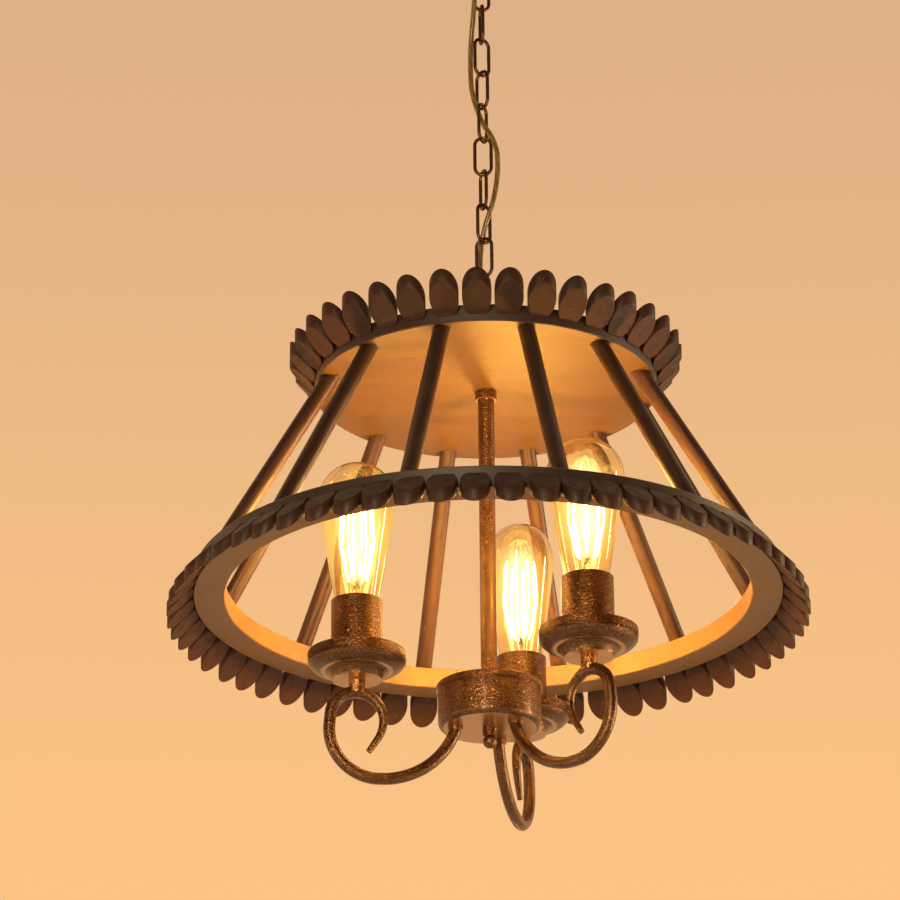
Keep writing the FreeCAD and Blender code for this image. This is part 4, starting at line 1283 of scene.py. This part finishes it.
def add_filaments(work, matrix, floor):
    """The glass stem, its middle wire and spokes of wire, and the lit sticks in two tiers."""
    stem = [(r * MM, floor + z * MM) for r, z in STEM_OUTLINE]
    stem += [(2.4 * MM, FILAMENT_LEVELS[0] - 1.5 * MM), (0.0, FILAMENT_LEVELS[0])]
    turned(work, stem, 24, matrix, slot=1)
    spine = [Vector((0, 0, FILAMENT_LEVELS[0] - 6 * MM)),
            Vector((0, 0, FILAMENT_LEVELS[2] + 1.2 * MM))]
    bar(work, [matrix @ p for p in spine], [0.5 * MM] * 2, 8, slot=2)
    for k in range(FILAMENTS):
        turn = Matrix.Rotation(2 * math.pi * k / FILAMENTS, 4, "Z")
        for tier in (0, 1):
            start = Vector((FILAMENT_CIRCLES[tier], 0, FILAMENT_LEVELS[tier]))
            end = Vector((FILAMENT_CIRCLES[tier + 1], 0, FILAMENT_LEVELS[tier + 1]))
            parts = 10
            points = [matrix @ turn @ start.lerp(end, j / parts) for j in range(parts + 1)]
            radii = [FILAMENT_R * (0.35 if j in (0, parts) else 1.0) for j in range(parts + 1)]
            bar(work, points, radii, 10)
        for level in (0, 2):
            hub = Vector((0, 0, FILAMENT_LEVELS[level] + (0.8 if level else -0.8) * MM))
            tip = Vector((FILAMENT_CIRCLES[level], 0, FILAMENT_LEVELS[level]))
            bar(work, [matrix @ turn @ hub, matrix @ turn @ tip], [0.32 * MM] * 2, 6, slot=2)


def add_cap(work, matrix, radius, top, foot, depth, pitch):
    """A shell with a rolled round thread, rimmed above and drawn in below."""
    steps = 48
    rows = 60
    rings = []
    for row in range(rows + 1):
        part = row / rows
        height = top + (foot - top) * part
        ring = []
        for k in range(steps):
            turn = 2 * math.pi * k / steps
            fade = min(1.0, 6 * min(part - 0.10, 0.93 - part)) if 0.10 < part < 0.93 else 0.0
            wave = 0.5 + 0.5 * math.cos(2 * math.pi * height / pitch - turn)
            reach = radius - depth * fade * wave - (1.6 * MM * max(0.0, part - 0.93) / 0.07)
            spot = Vector((reach * math.cos(turn), reach * math.sin(turn), height))
            ring.append(work.point(matrix @ spot, spot))
        rings.append(ring)
    inner = [[], []]
    for ring, height in zip(inner, (foot + 0.4 * MM, top)):
        for k in range(steps):
            turn = 2 * math.pi * k / steps
            reach = radius - depth - 1.9 * MM if height < top else radius - depth - 0.5 * MM
            spot = Vector((reach * math.cos(turn), reach * math.sin(turn), height))
            ring.append(work.point(matrix @ spot, spot))
    work.bridge(rings + inner, closed_path=True)


class Bulbs(bpy.types.Operator):
    """Blow the bulbs and mount their filaments and caps"""

    bl_idname = "chandelier.bulbs"
    bl_label = "Bulbs"

    def execute(self, context):
        scene = context.scene
        bulb = scene.chandelier_bulb
        for k in LAMPS:
            glass, cap, sticks = ("{}_{}".format(stem, k) for stem in ("bulb_glass", "bulb_cap",
                    "bulb_filaments"))
            middle = [(a + b) / 2 for a, b in zip(*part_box(cap))]
            rim = high("cup_{}".format(k))
            matrix = Matrix.Translation((middle[0], middle[1], rim)) @ Matrix.Rotation(
                math.atan2(middle[1], middle[0]), 4, "Z")
            widest = width(glass) / 2
            cap_r = width(cap) / 2
            work = Work()
            add_glass(work, matrix, widest, high(glass) - rim, cap_r, bulb.wall)
            envelope = work.piece(scene, "glass_blown_{}".format(k), ["amber_glass"])
            work = Work()
            add_filaments(work, matrix, low(sticks) - rim)
            lit = work.piece(scene, "filaments_lit_{}".format(k),
                    ["filament_glow", "stem_glass", "cap_metal"])
            work = Work()
            add_cap(work, matrix, cap_r, high(cap) - rim, low(cap) - rim, bulb.thread, CAP_PITCH)
            shell = work.piece(scene, "cap_threaded_{}".format(k), ["cap_metal"])
            for made, slot, node in (
                (envelope, "amber_glass", glass), (lit, "filament_glow", sticks),
                    (shell, "cap_metal", cap)):
                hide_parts(node)
                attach(made, "bulb_{}".format(k))
            dress(scene, ("bulb_contact_{}".format(k),), "tip_black")
        return {"FINISHED"}


# ---- stage ----

AIM = (0.0, 0.0, -0.62)
FLOOR_HALF = 9.0
FLOOR_LEVEL = -2.45
KEY_COLOUR = (1.0, 0.86, 0.66)
FILL_COLOUR = (1.0, 0.84, 0.62)
STRIP_COLOUR = (1.0, 0.74, 0.42)
LAMP_COLOUR = (1.0, 0.56, 0.10)
CAMERA_PLACE = (-0.0304, -3.3049, -1.9166)
SENSOR_WIDTH = 36.0


def add_lamp(scene, name, kind, watts, place, aim=None, size=None, colour=(1.0, 1.0, 1.0)):
    data = bpy.data.lights.new(name, kind)
    data.energy = watts
    data.color = colour
    if kind == "AREA":
        data.shape = "RECTANGLE"
        data.size, data.size_y = size
    else:
        data.shadow_soft_size = size
    lamp = bpy.data.objects.new(name, data)
    scene.collection.objects.link(lamp)
    lamp.location = place
    if aim is not None:
        lamp.rotation_euler = (Vector(aim) - Vector(place)).to_track_quat("-Z", "Y").to_euler()
    return lamp


def backdrop(scene):
    """A pale backdrop for the camera, a darker room on the camera's side for gloss, and a soft light."""
    studio = scene.chandelier_studio
    world = bpy.data.worlds.new("Pale backdrop")
    scene.world = world
    world.use_nodes = True
    tree = world.node_tree
    tree.nodes.clear()
    sink = tree.nodes.new("ShaderNodeOutputWorld")
    heading = put(tree, "ShaderNodeTexCoord").outputs["Generated"]
    rise = coordinate(tree, heading, 2)
    shade = mixed(tree, spread(tree, rise, 0.28, 0.50), linear(studio.wall_low),
            linear(studio.wall_high))
    behind = coordinate(tree, heading, 1)
    mirrored_room = spread(tree, behind, -0.35, 0.4, 0.05, 1.0)
    lit_room = times(tree, spread(tree, behind, -0.6, 0.6, 0.4, 1.6), studio.ambient)
    seen = put(tree, "ShaderNodeBackground", {"Color": shade, "Strength": 1.0})
    mirrored = put(tree, "ShaderNodeBackground", {"Color": shade, "Strength": mirrored_room})
    soft = put(tree, "ShaderNodeBackground", {"Color": (1.0, 0.85, 0.64, 1), "Strength": lit_room})
    path = put(tree, "ShaderNodeLightPath").outputs
    direct = maths(tree, "MAXIMUM", path["Is Camera Ray"], path["Is Transmission Ray"])
    unlit = put(tree, "ShaderNodeMixShader",
            {0: path["Is Glossy Ray"], 1: soft.outputs[0], 2: mirrored.outputs[0]})
    both = put(tree, "ShaderNodeMixShader", {0: direct, 1: unlit.outputs[0], 2: seen.outputs[0]})
    feed(sink, "Surface", both.outputs[0])


def floor_finish(studio):
    material, tree, surface, _ = new_material(
        "Pale floor", {"Roughness": 0.8, "Specular IOR Level": 0.2, "Emission Strength": 0.2})
    patch = cloud(tree, object_place(tree), 3.0, 4.0)
    colour = mixed(tree, patch, shaded(studio.floor, 0.94), shaded(studio.floor, 1.04))
    feed(surface, "Base Color", colour)
    feed(surface, "Emission Color", colour)
    return material


class Studio(bpy.types.Operator):
    """Lay the floor, hang the lamps and set up the camera"""

    bl_idname = "chandelier.studio"
    bl_label = "Studio"

    def execute(self, context):
        scene = context.scene
        studio = scene.chandelier_studio
        backdrop(scene)
        mesh = bpy.data.meshes.new("floor")
        half, level = FLOOR_HALF, FLOOR_LEVEL
        corners = [(-half, -half, level), (half, -half, level), (half, half, level),
                (-half, half, level)]
        mesh.from_pydata(corners, [], [(0, 1, 2, 3)])
        mesh.materials.append(floor_finish(studio))
        floor = bpy.data.objects.new("floor", mesh)
        scene.collection.objects.link(floor)
        add_lamp(scene, "key", "AREA", studio.key, (-0.7, -3.0, -0.2), AIM, (0.5, 1.5), KEY_COLOUR)
        for side, depth in ((-1, -0.5), (1, -0.3)):
            add_lamp(scene, "fill", "AREA", studio.fill, (side * 2.6, depth, -1.2), AIM,
                    (1.0, 1.6),
                    FILL_COLOUR)
        for place in ((-0.35, -1.9, -0.75), (1.9, 0.25, -0.75)):
            strip = add_lamp(scene, "strip", "AREA", studio.strip, place, AIM, (0.12, 1.5),
                    STRIP_COLOUR)
            strip.visible_diffuse = False
        for k in LAMPS:
            cup_low, cup_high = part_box("cup_{}".format(k))
            place = Vector(((cup_low[0] + cup_high[0]) / 2, (cup_low[1] + cup_high[1]) / 2,
                    cup_high[2] + LAMP_RISE))
            lamp = add_lamp(scene, "bulb_light_{}".format(k), "POINT", scene.chandelier_bulb.light,
                    place,
                    size=LAMP_RADIUS, colour=LAMP_COLOUR)
            lamp.visible_transmission = False
            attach(lamp, "fitting")
        data = bpy.data.cameras.new("camera")
        data.lens = studio.lens
        data.sensor_width = SENSOR_WIDTH
        camera = bpy.data.objects.new("camera", data)
        scene.collection.objects.link(camera)
        camera.matrix_world = (Matrix.Translation(CAMERA_PLACE)
                @ Matrix.Rotation(math.radians(90) + studio.elevation, 4, "X")
                @ Matrix.Rotation(studio.roll, 4, "Z"))
        data.clip_start, data.clip_end = 0.05, 50.0
        scene.camera = camera
        scene.view_settings.view_transform = "Standard"
        return {"FINISHED"}


OPERATORS = (Boards, Petals, Spokes, CeilingCanopy, Chain, PowerCord, StemAndHub, Arms,
        DishesAndCups, Wiring,
        Bulbs, Studio)


class ChandelierPanel(bpy.types.Panel):
    """Lists the pieces of the chandelier and their settings"""

    bl_idname = "VIEW3D_PT_chandelier"
    bl_label = "Wagon wheel chandelier"
    bl_space_type = "VIEW_3D"
    bl_region_type = "UI"
    bl_category = "Chandelier"

    def draw(self, context):
        for operator in OPERATORS:
            self.layout.operator(operator.bl_idname)
        for name, kind in SETTINGS.items():
            box = self.layout.box()
            box.label(text=kind.__doc__)
            for setting in kind.__annotations__:
                box.prop(getattr(context.scene, name), setting)


def register():
    for kind in (*SETTINGS.values(), *OPERATORS, ChandelierPanel):
        bpy.utils.register_class(kind)
    for name, kind in SETTINGS.items():
        setattr(bpy.types.Scene, name, PointerProperty(type=kind))


def unregister():
    for name in SETTINGS:
        delattr(bpy.types.Scene, name)
    for kind in (ChandelierPanel, *reversed(OPERATORS), *reversed(SETTINGS.values())):
        bpy.utils.unregister_class(kind)


def main():
    register()
    for operator in OPERATORS:
        area, call = operator.bl_idname.split(".")
        getattr(getattr(bpy.ops, area), call)()


if __name__ == "__main__":
    main()
